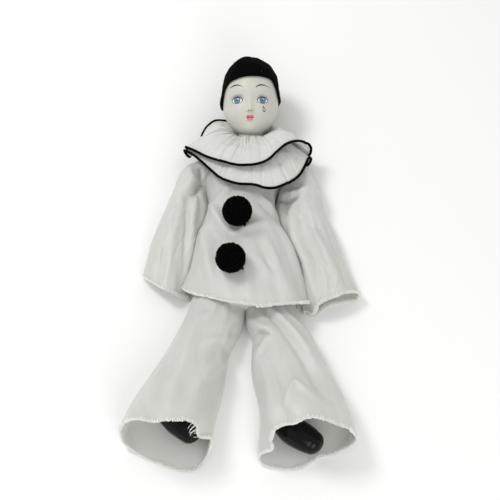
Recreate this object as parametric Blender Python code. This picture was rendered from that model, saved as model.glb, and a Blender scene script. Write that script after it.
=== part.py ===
"""Pierrot doll lying on its back.

A bisque head in a black cap, a piped ruffle of two layers, a white tunic with two
pompoms, and wide trousers with a glazed shoe in each leg. Metres, +Z up, the head
towards +Y and the feet towards -Y, the origin under the middle of the figure.
"""

import math

import bmesh
import bpy
import numpy as np
from mathutils import Matrix, Vector

# Sizes that can be set by themselves, in metres
FIGURE_LENGTH = 0.422
CLOTH = 0.0016
RUFFLE_CLOTH = 0.0011
CAP_CLOTH = 0.0022
PIPING_DIAMETER = 0.0022
POMPOM_DIAMETER = 0.0285
NECK_DIAMETER = 0.026
NECK_DEPTH = 0.012
SHIN_DIAMETER = 0.017
GAP = 0.0004

# The pose, outlines and drapery below are in shares of the figure: 422 to its length
SHARE = FIGURE_LENGTH / 422

# Mesh density
TORSO_SIDES, SLEEVE_SIDES, LEG_SIDES, RUFFLE_SIDES = 24, 18, 20, 48

# How much of a cloth section's half turn lies flat on the ground
FLAT = 0.35

# Cloth stations run from the body to the hem: left x, y, right x, y, height,
# and how far the top and the underside run on past the line between them
TORSO = (
    (-18, 122, 19, 122, 35, 6, -6),
    (-27, 111, 28, 111, 35, 3, -3),
    (-40, 100, 39, 100, 36, 0, 0),
    (-45, 86, 38, 86, 39, 0, 0),
    (-43, 68, 27, 68, 44, 0, 0),
    (-40, 50, 25, 50, 46, 0, 0),
    (-46, 32, 29, 32, 46, 0, 0),
    (-53, 10, 40, 10, 44, 2, 0),
    (-57, -12, 48, -14, 42, 8, 2),
    (-60, -27, 53, -36, 40, 15, 6),
    (-62, -39, 56, -54, 38, 22, 8),
)
RIGHT_SLEEVE = (
    (-48, 105, -24, 97, 22, 0, 0),
    (-67, 96, -37, 80, 26, 0, 0),
    (-75, 72, -44, 66, 28, 0, 0),
    (-81, 55, -43, 48, 27, 0, 0),
    (-88, 36, -49, 28, 26, 0, 0),
    (-95, 15, -56, 7, 25, 0, 0),
    (-99, -6, -61, -16, 23, 0, 0),
    (-102, -23, -64, -46, 21, 4, -3),
)
LEFT_SLEEVE = (
    (24, 97, 49, 104, 22, 0, 0),
    (29, 80, 63, 90, 27, 0, 0),
    (29, 63, 70, 68, 29, 0, 0),
    (28, 45, 71, 48, 28, 0, 0),
    (34, 26, 80, 30, 27, 0, 0),
    (44, 4, 87, 6, 26, 0, 0),
    (52, -20, 93, -16, 25, 0, 0),
    (58, -44, 99, -33, 24, 1, -2),
    (63, -60, 103, -45, 23, 3, -3),
)
HIPS = (
    (-48, -20, 42, -24, 26, 0, 0),
    (-50, -34, 44, -36, 28, 0, 0),
    (-52, -50, 44, -50, 27, 0, 0),
    (-50, -60, 40, -60, 25, 0, 0),
)
RIGHT_LEG = (
    (-52, -38, -4, -46, 26, 0, 0),
    (-60, -64, -6, -73, 27, 0, 0),
    (-69, -86, -13, -91, 32, 0, 0),
    (-80, -110, -20, -110, 36, 0, 0),
    (-93, -133, -23, -137, 41, 0, 0),
    (-107, -158, -28, -161, 49, -2, 3),
    (-114, -176, -34, -186, 57, -5, 8),
    (-117, -190, -43, -211, 64, -8, 13),
)
LEFT_LEG = (
    (-4, -46, 42, -44, 26, 0, 0),
    (-4, -72, 46, -68, 27, 0, 0),
    (2, -91, 59, -90, 32, 0, 0),
    (1, -113, 69, -113, 36, 0, 0),
    (3, -135, 77, -136, 41, 0, 0),
    (8, -160, 87, -161, 49, -2, 3),
    (9, -184, 94, -179, 56, -5, 8),
    (11, -208, 97, -193, 61, -8, 13),
)
# How many rings each cloth tube has, and how many of them are hollow at the hem
TORSO_RINGS, SLEEVE_RINGS, LEG_RINGS, HIP_RINGS = (16, 4), (10, 3), (12, 6), (4, 0)

# How far past the tunic's hem the trousers' underside comes down to the ground
HEM_MARGIN = 5

# Broad folds that stand on the cloth: from x, y to x, y, half width, height
TUNIC_FOLDS = (
    (-42, 66, -14, 30, 5, 2.6),
    (-34, 34, -20, -8, 5, 2.4),
    (-18, -6, 4, 20, 5, 2.2),
    (-44, 18, -34, -46, 5, 2.6),
    (14, 10, 38, -48, 6, 2.8),
    (24, 58, 6, 40, 5, 2.0),
    (-6, -20, 2, -60, 6, 1.8),
    (-62, 84, -80, 30, 5, 2.6),
    (-78, 34, -84, -24, 5, 2.2),
    (46, 84, 56, 30, 5, 2.4),
    (30, 54, 62, 42, 5, 2.2),
    (62, 20, 80, -40, 5, 2.6),
)
TROUSER_FOLDS = (
    (-16, -84, -60, -128, 6, 3.0),
    (-46, -70, -70, -180, 6, 2.6),
    (-30, -110, -44, -180, 6, 2.4),
    (-66, -100, -98, -176, 6, 2.6),
    (4, -82, 40, -136, 6, 3.2),
    (40, -84, 72, -160, 6, 3.0),
    (12, -120, 30, -184, 6, 2.6),
    (24, -76, 52, -94, 5, 2.4),
)

# The ruffles: a slanted ring round the neck, and the outline of the lower layer, from
# the front and round to the doll's left: x, y, z, and how far the cloth bulges within
NECK_CENTRE = (0.5, 126, 21.5)
NECK_TILT = math.radians(20)
RUFFLE_SLANT = math.radians(66)
RING_MARGIN = 0.0052
RUFFLE_EDGE = (
    (1, 54, 54, 6), (16, 52, 53, 6), (30, 55, 49, 6), (42, 66, 43, 7), (51, 81, 34, 8),
    (58, 99, 25, 9), (60, 113, 14, 12), (50, 124, 6, 15), (37, 131, 4, 16), (24, 137, 4, 12),
    (12, 141, 4, 7), (0, 143, 4, 2), (-14, 149, 4, 3), (-27, 156, 4, 4), (-39, 154, 5, 5),
    (-49, 142, 7, 7), (-59, 128, 14, 9), (-66, 114, 22, 8), (-50, 89, 37, 6),
    (-35, 70, 48, 6), (-24, 61, 52, 6), (-13, 56, 54, 6),
)
RUFFLE_ROWS = 4
BULGE_OUT = 0.45
# How far the upper layer lies over the lower one at the neck, and how much of that is out
RISE_AT_NECK, RISE_OUT = 2.2, 0.6
RUFFLE_PLEATS = 12
PLEAT_HEIGHT = 1.3
# The upper layer, by degrees round from the front: its length as a share of the lower
# one's, and how far its edge rises over it
UPPER_EDGE = (
    (0, 0.68, 7.5), (30, 0.60, 9), (50, 0.50, 12), (68, 0.60, 15), (86, 0.88, 12),
    (100, 0.97, 6.5), (125, 0.97, 6), (150, 0.97, 5), (180, 0.97, 3.6), (235, 0.97, 3.2),
    (262, 0.97, 5), (290, 0.86, 7), (315, 0.74, 8), (340, 0.70, 8), (360, 0.68, 7.5),
)

# The head, in its own frame: X to its left, Y to the crown, Z to the face
HEAD_CENTRE = (0.5, 165.0, 36.2)
HEAD_TILT = math.radians(26)
HEAD_HALF = (27.6, 39.0, 31.0)
HEAD_COLUMNS, HEAD_ROWS = 30, 19
FACE_DENSITY = 0.42
JAW_FULLNESS, NAPE_HOLLOW = 0.09, 4.0
CHIN_DROP = 19
# Modelled features: centre x, y, half width, half height, and how far they stand out
FEATURES = (
    (-0.6, -16.0, 3.2, 3.4, 4.6),
    (-0.6, -9.5, 2.4, 6.5, 2.4),
    (-12.9, -7.8, 6.5, 4.5, -2.2),
    (11.7, -7.8, 6.5, 4.5, -2.2),
    (-15, -19, 8, 7, 1.8),
    (14, -19, 8, 7, 1.8),
    (-0.6, -23.3, 4.4, 2.0, 1.8),
    (-0.6, -26.8, 3.6, 1.7, 1.3),
    (0, -35, 7, 5, 3.0),
    (0, 12, 16, 10, 1.0),
)
# The cap's edge, by degrees round from the face: its polar angle from the crown on the
# doll's right and on its left
CAP_EDGE = (
    (0, 62, 62), (25, 62.5, 62), (40, 64, 62), (49, 67, 62.5), (58, 77.5, 76), (66, 90, 90),
    (74, 101, 97), (84, 109, 99), (100, 110, 100), (125, 110, 105), (180, 112, 112),
)
CAP_ROWS = 7
CAP_ROOM = 0.0009

POMPOM_SEATS = ((-12, 18.5), (-18, -29.5))
POMPOM_SIDES = 16
POMPOM_SINK = 0.10

# Each foot's middle line from the ankle to the toe: x, y, z, half width, half height
RIGHT_FOOT = (
    (-76, -151, 15, 8.5, 9),
    (-75, -163, 15, 11, 12),
    (-67, -173, 15, 12, 12.5),
    (-56, -182, 15.5, 11.5, 11),
    (-49, -188, 15.5, 9, 8.5),
    (-44.5, -191.5, 15, 5.5, 5.5),
)
LEFT_FOOT = (
    (24, -153, 15, 8.5, 9),
    (26, -168, 15, 11, 12),
    (36, -182, 15.5, 12, 13),
    (50, -191, 15.5, 11.5, 11),
    (61, -198, 14.5, 9, 8.5),
    (65.5, -201, 14, 5.5, 5.5),
)
FOOT_SIDES, FOOT_RINGS = 14, 11
TOE_ROUND = 0.45


def clear_scene():
    for item in list(bpy.data.objects):
        bpy.data.objects.remove(item, do_unlink=True)


def material(name, colour, roughness, metallic=0.0):
    made = bpy.data.materials.new(name)
    made.use_nodes = True
    shader = made.node_tree.nodes["Principled BSDF"]
    shader.inputs["Base Color"].default_value = (*colour, 1.0)
    shader.inputs["Roughness"].default_value = roughness
    shader.inputs["Metallic"].default_value = metallic
    return made


def solid(name, points, faces, look):
    """A closed mesh object with its faces turned out."""
    mesh = bpy.data.meshes.new(name)
    mesh.from_pydata([tuple(p) for p in points], [], faces)
    shell = bmesh.new()
    shell.from_mesh(mesh)
    bmesh.ops.recalc_face_normals(shell, faces=shell.faces)
    shell.to_mesh(mesh)
    shell.free()
    mesh.materials.append(look)
    mesh.shade_smooth()
    made = bpy.data.objects.new(name, mesh)
    bpy.context.scene.collection.objects.link(made)
    return made


def guide(made):
    """Marks a shape that only joins or cuts another."""
    made.hide_render = True
    made.display_type = "WIRE"
    return made


def boolean(made, other, operation):
    step = made.modifiers.new(other.name, "BOOLEAN")
    step.operation = operation
    step.solver = "EXACT"
    step.object = guide(other)


def curve_through(rows, count, closed=False):
    """Rows of numbers, evenly spread on a smooth curve through the given rows."""
    rows = np.array(rows, float)
    spans = len(rows) if closed else len(rows) - 1
    found = []
    for k in range(count):
        place = k * spans / (count if closed else count - 1)
        start = min(int(place), spans - 1)
        t = place - start
        near = [start - 1, start, start + 1, start + 2]
        if closed:
            near = [i % len(rows) for i in near]
        a, b, c, d = (rows[min(max(i, 0), len(rows) - 1)] for i in near)
        bend = 2 * a - 5 * b + 4 * c - d
        found.append(b + 0.5 * ((c - a) * t + bend * t**2 + (3 * (b - c) + d - a) * t**3))
    return np.array(found)


def bridge(rings, around, closed=False):
    """Quads between rings of the same number of points, and a fan at each open end."""
    faces = []
    last = len(rings) if closed else len(rings) - 1
    for i in range(last):
        for j in range(around):
            k = (j + 1) % around
            low, high = i * around, (i + 1) % len(rings) * around
            faces.append((low + j, low + k, high + k, high + j))
    points = [p for ring in rings for p in ring]
    if not closed:
        for first in (0, (len(rings) - 1) * around):
            points.append(np.mean(np.array(points[first : first + around]), axis=0))
            tip = len(points) - 1
            faces += [(first + j, first + (j + 1) % around, tip) for j in range(around)]
    return points, faces


def fold_rise(x, y, folds):
    """How far the folds lift the cloth at a place, in shares."""
    rise = 0.0
    for x0, y0, x1, y1, width, height in folds:
        run = np.array((x1 - x0, y1 - y0))
        along = ((x - x0) * run[0] + (y - y0) * run[1]) / (run @ run)
        held = min(max(along, 0.0), 1.0)
        off = math.hypot(x - x0 - held * run[0], y - y0 - held * run[1])
        rise += height * math.exp(-((off / width) ** 2)) * math.sin(math.pi * (0.15 + 0.7 * held))
    return rise


def cloth_ring(station, along, around, folds, wall=0.0):
    """One closed section of a cloth tube that lies on the ground, inside a wall or not."""
    left, right = station[0:2] * SHARE, station[2:4] * SHARE
    height, top_lip, low_lip = station[4:7] * SHARE
    half = (right - left) / 2
    half = half * (1 - wall / np.linalg.norm(half))
    ring = []
    for k in range(around):
        turn = math.tau * k / around
        side, up = math.cos(turn), math.sin(turn)
        lip = top_lip * max(up, 0) + low_lip * max(-up, 0)
        x, y = (left + right) / 2 + half * side + along * lip
        rise = max(0.0, (up + FLAT) / (1 + FLAT))
        lift = fold_rise(x / SHARE, y / SHARE, folds) * SHARE * max(up, 0) ** 0.5
        ring.append((x, y, wall + (height - 2 * wall) * rise + lift))
    return np.array(ring)


def cloth_tube(name, stations, around, rings, folds, look):
    """A tube of cloth, solid at the body and hollow over its last rings."""
    count, hollow = rings
    rows = curve_through(stations, count)
    middles = (rows[:, 0:2] + rows[:, 2:4]) / 2
    ways = np.gradient(middles, axis=0)
    ways /= np.linalg.norm(ways, axis=1)[:, None]
    outer = [cloth_ring(r, w, around, folds) for r, w in zip(rows, ways)]
    inner = [
        cloth_ring(rows[i], ways[i], around, folds, CLOTH)
        for i in range(count - 1, count - 1 - hollow, -1)
    ]
    points, faces = bridge(outer + inner, around)
    return solid(name, points, faces, look)


def tilt(angle):
    """The turn that takes a thing's own frame, crown up Y, to the lying pose."""
    return Matrix.Rotation(angle, 3, "X")


def neck_axis():
    return tilt(NECK_TILT) @ Vector((0, 1, 0))


def ring_round_neck(count, radius):
    """Points round the neck, from the front, turning to the doll's left."""
    across = Vector((1, 0, 0))
    front = Vector((0, -math.cos(RUFFLE_SLANT), math.sin(RUFFLE_SLANT)))
    centre = Vector(NECK_CENTRE) * SHARE
    turns = [math.tau * k / count for k in range(count)]
    return [centre + radius * (front * math.cos(t) + across * math.sin(t)) for t in turns]


def upper_edge(turn):
    """The upper layer's length and the rise of its edge, at a turn from the front."""
    turns, shares, rises = zip(*UPPER_EDGE)
    degrees = math.degrees(turn)
    return float(np.interp(degrees, turns, shares)), float(np.interp(degrees, turns, rises))


def ruffle_point(inner, edge, turn, out, raised):
    """A place on a layer: out is 0 at the neck and 1 at the lower layer's edge."""
    end, bulge = Vector(edge[:3]) * SHARE, edge[3] * SHARE
    away = (end - inner).normalized()
    away.z = 0
    swell = bulge * math.sin(math.pi * min(out, 1.0) ** 0.8)
    pleat = PLEAT_HEIGHT * SHARE * out * math.cos(RUFFLE_PLEATS * turn)
    whole, at_edge = upper_edge(turn)
    rise = (RISE_AT_NECK + (at_edge - RISE_AT_NECK) * out / whole) * SHARE * raised
    place = inner.lerp(end, out) + away * (swell * BULGE_OUT + rise * RISE_OUT * out**2)
    return place + Vector((0, 0, swell + pleat + rise))


def ruffle(name, raised, cloth_look, piping_look):
    """One gathered layer, and the piping sewn round its edge."""
    inner = ring_round_neck(RUFFLE_SIDES, NECK_DIAMETER / 2 + RING_MARGIN)
    edge = curve_through(RUFFLE_EDGE, RUFFLE_SIDES, closed=True)
    rows = [[] for _ in range(RUFFLE_ROWS)]
    route = []
    for k in range(RUFFLE_SIDES):
        turn = math.tau * k / RUFFLE_SIDES
        whole = upper_edge(turn)[0] if raised else 1.0
        reach = Vector(edge[k][:3]) * SHARE - inner[k]
        run = Vector(edge[(k + 1) % RUFFLE_SIDES][:3]) - Vector(edge[k - 1][:3])
        rim = whole - (PIPING_DIAMETER / 2 + GAP) / reach.cross(run.normalized()).length
        for i in range(RUFFLE_ROWS):
            out = rim * i / (RUFFLE_ROWS - 1)
            rows[i].append(ruffle_point(inner[k], edge[k], turn, out, raised))
        route.append(ruffle_point(inner[k], edge[k], turn, whole, raised))
    half = Vector((0, 0, RUFFLE_CLOTH / 2))
    upper = [[p + half for p in row] for row in rows]
    lower = [[p - half for p in row] for row in rows]
    points, faces = bridge(upper + lower[::-1], RUFFLE_SIDES, closed=True)
    return solid(name, points, faces, cloth_look), piping(name + "_piping", route, piping_look)


def piping(name, route, look):
    """A round cord along a closed route."""
    sides, count = 6, len(route)
    rings = []
    for k in range(count):
        way = (route[(k + 1) % count] - route[k - 1]).normalized()
        across = way.cross(Vector((0, 0, 1))).normalized()
        up = across.cross(way)
        turns = [math.tau * j / sides for j in range(sides)]
        radius = PIPING_DIAMETER / 2
        rings.append([route[k] + radius * (across * math.cos(t) + up * math.sin(t)) for t in turns])
    points, faces = bridge(rings, sides, closed=True)
    return solid(name, points, faces, look)


def head_radius(way):
    """From the head's centre to the bisque, in shares, along a unit direction."""
    wide, tall, deep = HEAD_HALF
    low = max(0.0, -way.y)
    tall += CHIN_DROP * low * way.z
    reach = 1 / math.sqrt((way.x / wide) ** 2 + (way.y / tall) ** 2 + (way.z / deep) ** 2)
    before_nape = max(0.0, 1 - NAPE_HOLLOW * max(0.0, -way.z))
    reach *= 1 + JAW_FULLNESS * before_nape * (2 * way.x * low) ** 2 / max(way.x**2 + low**2, 1e-9)
    if way.z > 0:
        x, y = way.x * reach, way.y * reach
        for fx, fy, width, height, out in FEATURES:
            spot = ((x - fx) / width) ** 2 + ((y - fy) / height) ** 2
            reach += out * math.exp(-spot) * min(1.0, way.z * 2)
    return reach


def head_point(turn, polar, extra):
    """A place on the head: turn from the face, polar from the crown, extra in metres."""
    way = Vector((math.sin(turn) * math.sin(polar), math.cos(polar), math.cos(turn) * math.sin(polar)))
    own = way * (head_radius(way) * SHARE + extra)
    return tilt(HEAD_TILT) @ own + Vector(HEAD_CENTRE) * SHARE


def face_turn(k, count):
    """Turns from the face, closer together at the front."""
    even = math.tau * k / count
    return even - FACE_DENSITY * math.sin(even)


def head(look):
    rings = []
    for i in range(1, HEAD_ROWS):
        polar = math.pi * i / HEAD_ROWS
        rings.append([head_point(face_turn(k, HEAD_COLUMNS), polar, 0) for k in range(HEAD_COLUMNS)])
    points, faces = bridge(rings, HEAD_COLUMNS)
    points[-2] = head_point(0, 0, 0)
    points[-1] = head_point(0, math.pi, 0)
    made = solid("head", points, faces, look)
    boolean(made, neck("neck", NECK_DIAMETER / 2, look), "UNION")
    return made


def neck(name, radius, look, past=0.0):
    """A round bar on the neck's axis, from inside the head down into the tunic."""
    across = Vector((1, 0, 0))
    front = across.cross(neck_axis())
    centre = Vector(NECK_CENTRE) * SHARE
    rings = []
    for reach in (-NECK_DEPTH - past, 0.0, 30 * SHARE):
        turns = [math.tau * k / 20 for k in range(20)]
        middle = centre + neck_axis() * reach
        rings.append([middle + radius * (front * math.cos(t) + across * math.sin(t)) for t in turns])
    points, faces = bridge(rings, 20)
    return solid(name, points, faces, look)


def cap_edge(turn):
    """The polar angle at which the cap ends, at a turn from the face."""
    degrees = (math.degrees(turn) + 180) % 360 - 180
    turns, on_right, on_left = zip(*CAP_EDGE)
    return math.radians(float(np.interp(abs(degrees), turns, on_left if degrees > 0 else on_right)))


def skull_cap(look):
    rings = []
    turns = [face_turn(k, HEAD_COLUMNS) for k in range(HEAD_COLUMNS)]
    for extra in (CAP_ROOM + CAP_CLOTH, CAP_ROOM):
        rows = [
            [head_point(turn, cap_edge(turn) * i / CAP_ROWS, extra) for turn in turns]
            for i in range(1, CAP_ROWS + 1)
        ]
        rings += rows if extra > CAP_ROOM else rows[::-1]
    points, faces = bridge(rings, HEAD_COLUMNS)
    points[-2] = head_point(0, 0, CAP_ROOM + CAP_CLOTH)
    points[-1] = head_point(0, 0, CAP_ROOM)
    return solid("skull_cap", points, faces, look)


def top_of_tunic(x, y):
    """The height of the tunic's front above a place on its middle, in metres."""
    rows = curve_through(TORSO, 200)
    middle = (rows[:, 1] + rows[:, 3]) / 2 - rows[:, 5]
    station = rows[int(np.argmin(abs(middle - y)))]
    side = (x - (station[0] + station[2]) / 2) / ((station[2] - station[0]) / 2)
    up = math.sqrt(max(0.0, 1 - side**2))
    return (station[4] * (up + FLAT) / (1 + FLAT) + fold_rise(x, y, TUNIC_FOLDS)) * SHARE


def pompom(name, place, look):
    """A ball of yarn with a flat seat where it is sewn on."""
    x, y = place
    radius = POMPOM_DIAMETER / 2
    seat = top_of_tunic(x, y) - POMPOM_SINK * radius + GAP
    low = math.acos(-0.86)
    rings = []
    for i in range(1, 9):
        polar = low * i / 8
        rings.append([
            (x * SHARE + radius * math.sin(polar) * math.cos(math.tau * k / POMPOM_SIDES),
             y * SHARE + radius * math.sin(polar) * math.sin(math.tau * k / POMPOM_SIDES),
             seat + radius * (math.cos(polar) - math.cos(low)))
            for k in range(POMPOM_SIDES)
        ])
    points, faces = bridge(rings, POMPOM_SIDES)
    points[-2] = (x * SHARE, y * SHARE, seat + radius * (1 - math.cos(low)))
    return solid(name, points, faces, look)


def seat_cutter(name, place, look):
    """The space over a pompom's seat, cut from the tunic to leave it flat."""
    x, y = place
    radius = POMPOM_DIAMETER / 2
    seat = top_of_tunic(x, y) - POMPOM_SINK * radius
    rings = []
    for wide, high in ((0.62, 0.0), (1.0, 0.5), (1.0, 2.0)):
        turns = [math.tau * k / POMPOM_SIDES for k in range(POMPOM_SIDES)]
        rings.append([
            (x * SHARE + radius * wide * math.cos(t), y * SHARE + radius * wide * math.sin(t),
             seat + radius * high)
            for t in turns
        ])
    points, faces = bridge(rings, POMPOM_SIDES)
    return solid(name, points, faces, look)


def hollow_end(stations, rings, x, half):
    """How far towards the feet a leg's hollow starts, over a width about x."""
    count, hollow = rings
    left_x, left_y, right_x, right_y = (curve_through(stations, count)[count - hollow] * SHARE)[:4]
    slope = (right_y - left_y) / (right_x - left_x)
    return left_y + (x - left_x) * slope - abs(half * slope)


def foot(name, stations, leg, look):
    """A shoe and its shin in one glazed casting: from the hollow's end to a round toe."""
    x, _, z, _, _ = np.array(stations[0]) * SHARE
    shin = SHIN_DIAMETER / 2
    top = (x, hollow_end(leg, LEG_RINGS, x, shin) - GAP, z, shin, shin)
    rows = curve_through((top, *(np.array(stations) * SHARE)), FOOT_RINGS)
    rings = []
    for i, (x, y, z, wide, tall) in enumerate(rows):
        ahead = rows[min(i + 1, len(rows) - 1)][:3] - rows[max(i - 1, 0)][:3]
        way = Vector(ahead).normalized()
        across = way.cross(Vector((0, 0, 1))).normalized()
        up = across.cross(way)
        turns = [math.tau * k / FOOT_SIDES for k in range(FOOT_SIDES)]
        rings.append([
            Vector((x, y, z)) + across * wide * math.cos(t) + up * tall * math.sin(t) for t in turns
        ])
    points, faces = bridge(rings, FOOT_SIDES)
    toe = Vector(rows[-1][:3]) + way * rows[-1][3] * TOE_ROUND
    points[-1] = toe
    return solid(name, points, faces, look)


def tunic(look):
    made = cloth_tube("tunic", TORSO, TORSO_SIDES, TORSO_RINGS, TUNIC_FOLDS, look)
    for name, stations in (("right_sleeve", RIGHT_SLEEVE), ("left_sleeve", LEFT_SLEEVE)):
        sleeve = cloth_tube(name, stations, SLEEVE_SIDES, SLEEVE_RINGS, TUNIC_FOLDS, look)
        boolean(made, sleeve, "UNION")
    boolean(made, neck("neck_hole", NECK_DIAMETER / 2 + GAP, look, GAP), "DIFFERENCE")
    for name, place in zip(("upper_seat", "lower_seat"), POMPOM_SEATS):
        boolean(made, seat_cutter(name, place, look), "DIFFERENCE")
    return made


def back_panel(name, look):
    """The space that the tunic's back panel takes under the hips."""
    low = SHARE * np.array((TORSO[-1][0], min(TORSO[-1][1], TORSO[-1][3]) - HEM_MARGIN))
    high = SHARE * np.array((TORSO[-1][2], 0))
    corners = ((low[0], low[1]), (high[0], low[1]), (high[0], high[1]), (low[0], high[1]))
    points, faces = bridge([[(x, y, z) for x, y in corners] for z in (-CLOTH, CLOTH + GAP)], 4)
    return solid(name, points, faces, look)


def trousers(look):
    made = cloth_tube("trousers", HIPS, LEG_SIDES, HIP_RINGS, TROUSER_FOLDS, look)
    for name, stations in (("right_leg", RIGHT_LEG), ("left_leg", LEFT_LEG)):
        leg = cloth_tube(name, stations, LEG_SIDES, LEG_RINGS, TROUSER_FOLDS, look)
        boolean(made, leg, "UNION")
    boolean(made, back_panel("back_panel", look), "DIFFERENCE")
    return made


def centre_on_footprint(pieces):
    """Puts the origin under the middle of the figure, on the ground."""
    found = bpy.context.evaluated_depsgraph_get()
    corners = np.array([
        tuple(vertex.co) for piece in pieces for vertex in piece.evaluated_get(found).data.vertices
    ])
    low, high = corners.min(axis=0), corners.max(axis=0)
    doll = bpy.data.objects.new("doll", None)
    bpy.context.scene.collection.objects.link(doll)
    doll.location = (-(low[0] + high[0]) / 2, -(low[1] + high[1]) / 2, -low[2])
    for item in bpy.context.scene.objects:
        if item is not doll:
            item.parent = doll


def main():
    clear_scene()
    satin = material("white satin", (0.86, 0.86, 0.84), 0.45)
    black_cloth = material("black velour", (0.012, 0.012, 0.013), 0.95)
    bisque = material("pale bisque", (0.80, 0.78, 0.76), 0.5)
    glaze = material("black glaze", (0.01, 0.01, 0.011), 0.12)
    upper, upper_piping = ruffle("upper_ruffle", 1.0, satin, black_cloth)
    lower, lower_piping = ruffle("lower_ruffle", 0.0, satin, black_cloth)
    pieces = [head(bisque), skull_cap(black_cloth), upper, upper_piping, lower, lower_piping]
    pieces += [tunic(satin), trousers(satin)]
    for name, place in zip(("upper_pompom", "lower_pompom"), POMPOM_SEATS):
        pieces.append(pompom(name, place, black_cloth))
    pieces += [foot("right_foot", RIGHT_FOOT, RIGHT_LEG, glaze)]
    pieces.append(foot("left_foot", LEFT_FOOT, LEFT_LEG, glaze))
    centre_on_footprint(pieces)


main()
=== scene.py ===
# %% [markdown]
# # A pierrot doll, lying on its back
#
# The real doll has a pale bisque porcelain head in a black velour cap, glazed shoes, and a
# white satin suit: two piped ruffles, a tunic with two yarn pompoms and wide trousers.
# This lesson dresses a plain solid model of it. The solids stay where they are, and each
# soft piece here stands in the place of one of them.

# %% The frame and the modules
import math

import bmesh
import bpy
import numpy as np
from mathutils import Matrix, Vector, noise


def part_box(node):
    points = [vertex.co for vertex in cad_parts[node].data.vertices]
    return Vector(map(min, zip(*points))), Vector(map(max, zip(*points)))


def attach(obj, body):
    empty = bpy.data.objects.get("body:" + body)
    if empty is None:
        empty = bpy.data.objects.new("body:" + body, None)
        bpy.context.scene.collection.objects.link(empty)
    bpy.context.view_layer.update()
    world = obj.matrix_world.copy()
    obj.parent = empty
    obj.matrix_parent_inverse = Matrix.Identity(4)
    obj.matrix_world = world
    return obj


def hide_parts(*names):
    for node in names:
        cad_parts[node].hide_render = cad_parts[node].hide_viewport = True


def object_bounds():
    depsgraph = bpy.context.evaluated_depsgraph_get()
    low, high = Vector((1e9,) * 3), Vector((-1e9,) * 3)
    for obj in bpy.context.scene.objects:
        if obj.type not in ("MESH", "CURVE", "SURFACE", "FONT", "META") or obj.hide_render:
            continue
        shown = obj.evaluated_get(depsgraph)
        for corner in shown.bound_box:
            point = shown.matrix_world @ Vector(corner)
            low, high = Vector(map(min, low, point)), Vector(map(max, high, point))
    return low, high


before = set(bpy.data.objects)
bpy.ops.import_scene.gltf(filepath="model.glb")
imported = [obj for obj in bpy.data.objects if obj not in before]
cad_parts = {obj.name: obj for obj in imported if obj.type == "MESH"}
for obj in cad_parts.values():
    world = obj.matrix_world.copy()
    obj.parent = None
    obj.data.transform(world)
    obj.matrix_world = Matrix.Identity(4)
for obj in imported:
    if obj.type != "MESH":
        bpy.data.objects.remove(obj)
cad_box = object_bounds()
print("solid model, mm:", [[round(v * 1000, 1) for v in corner] for corner in cad_box])

# %% [markdown]
# ## Where things are
#
# The doll was measured on a plan, in millimetres, with the head towards +Y. The plan's
# numbers become metres in the frame by one scale and one shift. The scale is read from the
# solid model's length, so the clothes still fit if the doll is made larger or smaller.

# %% From the plan to the frame
PLAN_LENGTH = 422.4
PLAN_MIDDLE = np.array((-7.0, -5.54, 0.0))
METRES = (cad_box[1][1] - cad_box[0][1]) / PLAN_LENGTH


def to_frame(points):
    """Plan millimetres as metres in the frame."""
    return (np.asarray(points, float) - PLAN_MIDDLE) * METRES


print("one plan millimetre is", round(METRES * 1000, 4), "mm")

# %% [markdown]
# ## Camera, floor and light
#
# The camera looks down on the doll from its feet, at 60 degrees above the floor, from far
# enough away that the legs hardly grow. The floor is plain and pale. One soft light stands
# at the upper left, a larger one beyond the feet, and the sky fills the shadows.

# %% Camera
CAMERA_ELEVATION = math.radians(60)
CAMERA_DISTANCE = 1500
FRAME_WIDTH = 475
SENSOR_WIDTH = 36
aim = Vector(to_frame((0, 0, 20)))


def aimed(name, data, place):
    """An object for a camera or a lamp, standing at a place and turned to the doll."""
    made = bpy.data.objects.new(name, data)
    bpy.context.scene.collection.objects.link(made)
    made.location = place
    made.rotation_euler = (aim - Vector(place)).to_track_quat("-Z", "Y").to_euler()
    return made


camera_data = bpy.data.cameras.new("camera")
camera_data.sensor_width = SENSOR_WIDTH
camera_data.lens = SENSOR_WIDTH * CAMERA_DISTANCE / FRAME_WIDTH
back_off = Vector((0, -math.cos(CAMERA_ELEVATION), math.sin(CAMERA_ELEVATION)))
camera_place = aim + back_off * CAMERA_DISTANCE * METRES
bpy.context.scene.camera = aimed("camera", camera_data, camera_place)
print("lens", round(camera_data.lens, 1), "mm")

# %% Light
# Name, place, size and power
LAMPS = (("key", (-0.7, 0.45, 1.2), 0.45, 7.5), ("fill", (0.35, -1.25, 0.7), 1.0, 7))
SKY_COLOUR, SKY_STRENGTH = (1.0, 0.995, 0.98, 1), 0.68

for name, place, size, power in LAMPS:
    lamp_data = bpy.data.lights.new(name, "AREA")
    lamp_data.shape = "DISK"
    lamp_data.size = size
    lamp_data.energy = power
    aimed(name, lamp_data, place)
sky = bpy.data.worlds.new("studio")
sky.use_nodes = True
sky_inputs = sky.node_tree.nodes["Background"].inputs
sky_inputs["Color"].default_value = SKY_COLOUR
sky_inputs["Strength"].default_value = SKY_STRENGTH
bpy.context.scene.world = sky
bpy.context.scene.view_settings.view_transform = "Standard"


# %% [markdown]
# ## Materials
#
# Each finish is a small graph of shader nodes. Patterns are read from the cloth's own UV
# map, in metres, or from object coordinates, so that they stay on the piece from any side.
# The helpers below keep a graph short: they add a node, set its values and join its inputs.
# The cloth is painted paler inside its hems, as painted light in the shade of the cuffs; an
# attribute marks that inside.

# %% Helpers for shader graphs
def add_node(tree, kind, inputs, settings):
    """A new node in a tree, with its settings made and its inputs set or joined."""
    made = tree.nodes.new(kind)
    for key, value in settings.items():
        setattr(made, key, value)
    for key, value in inputs.items():
        if isinstance(value, bpy.types.NodeSocket):
            tree.links.new(value, made.inputs[key])
        else:
            made.inputs[key].default_value = value
    return made


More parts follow.
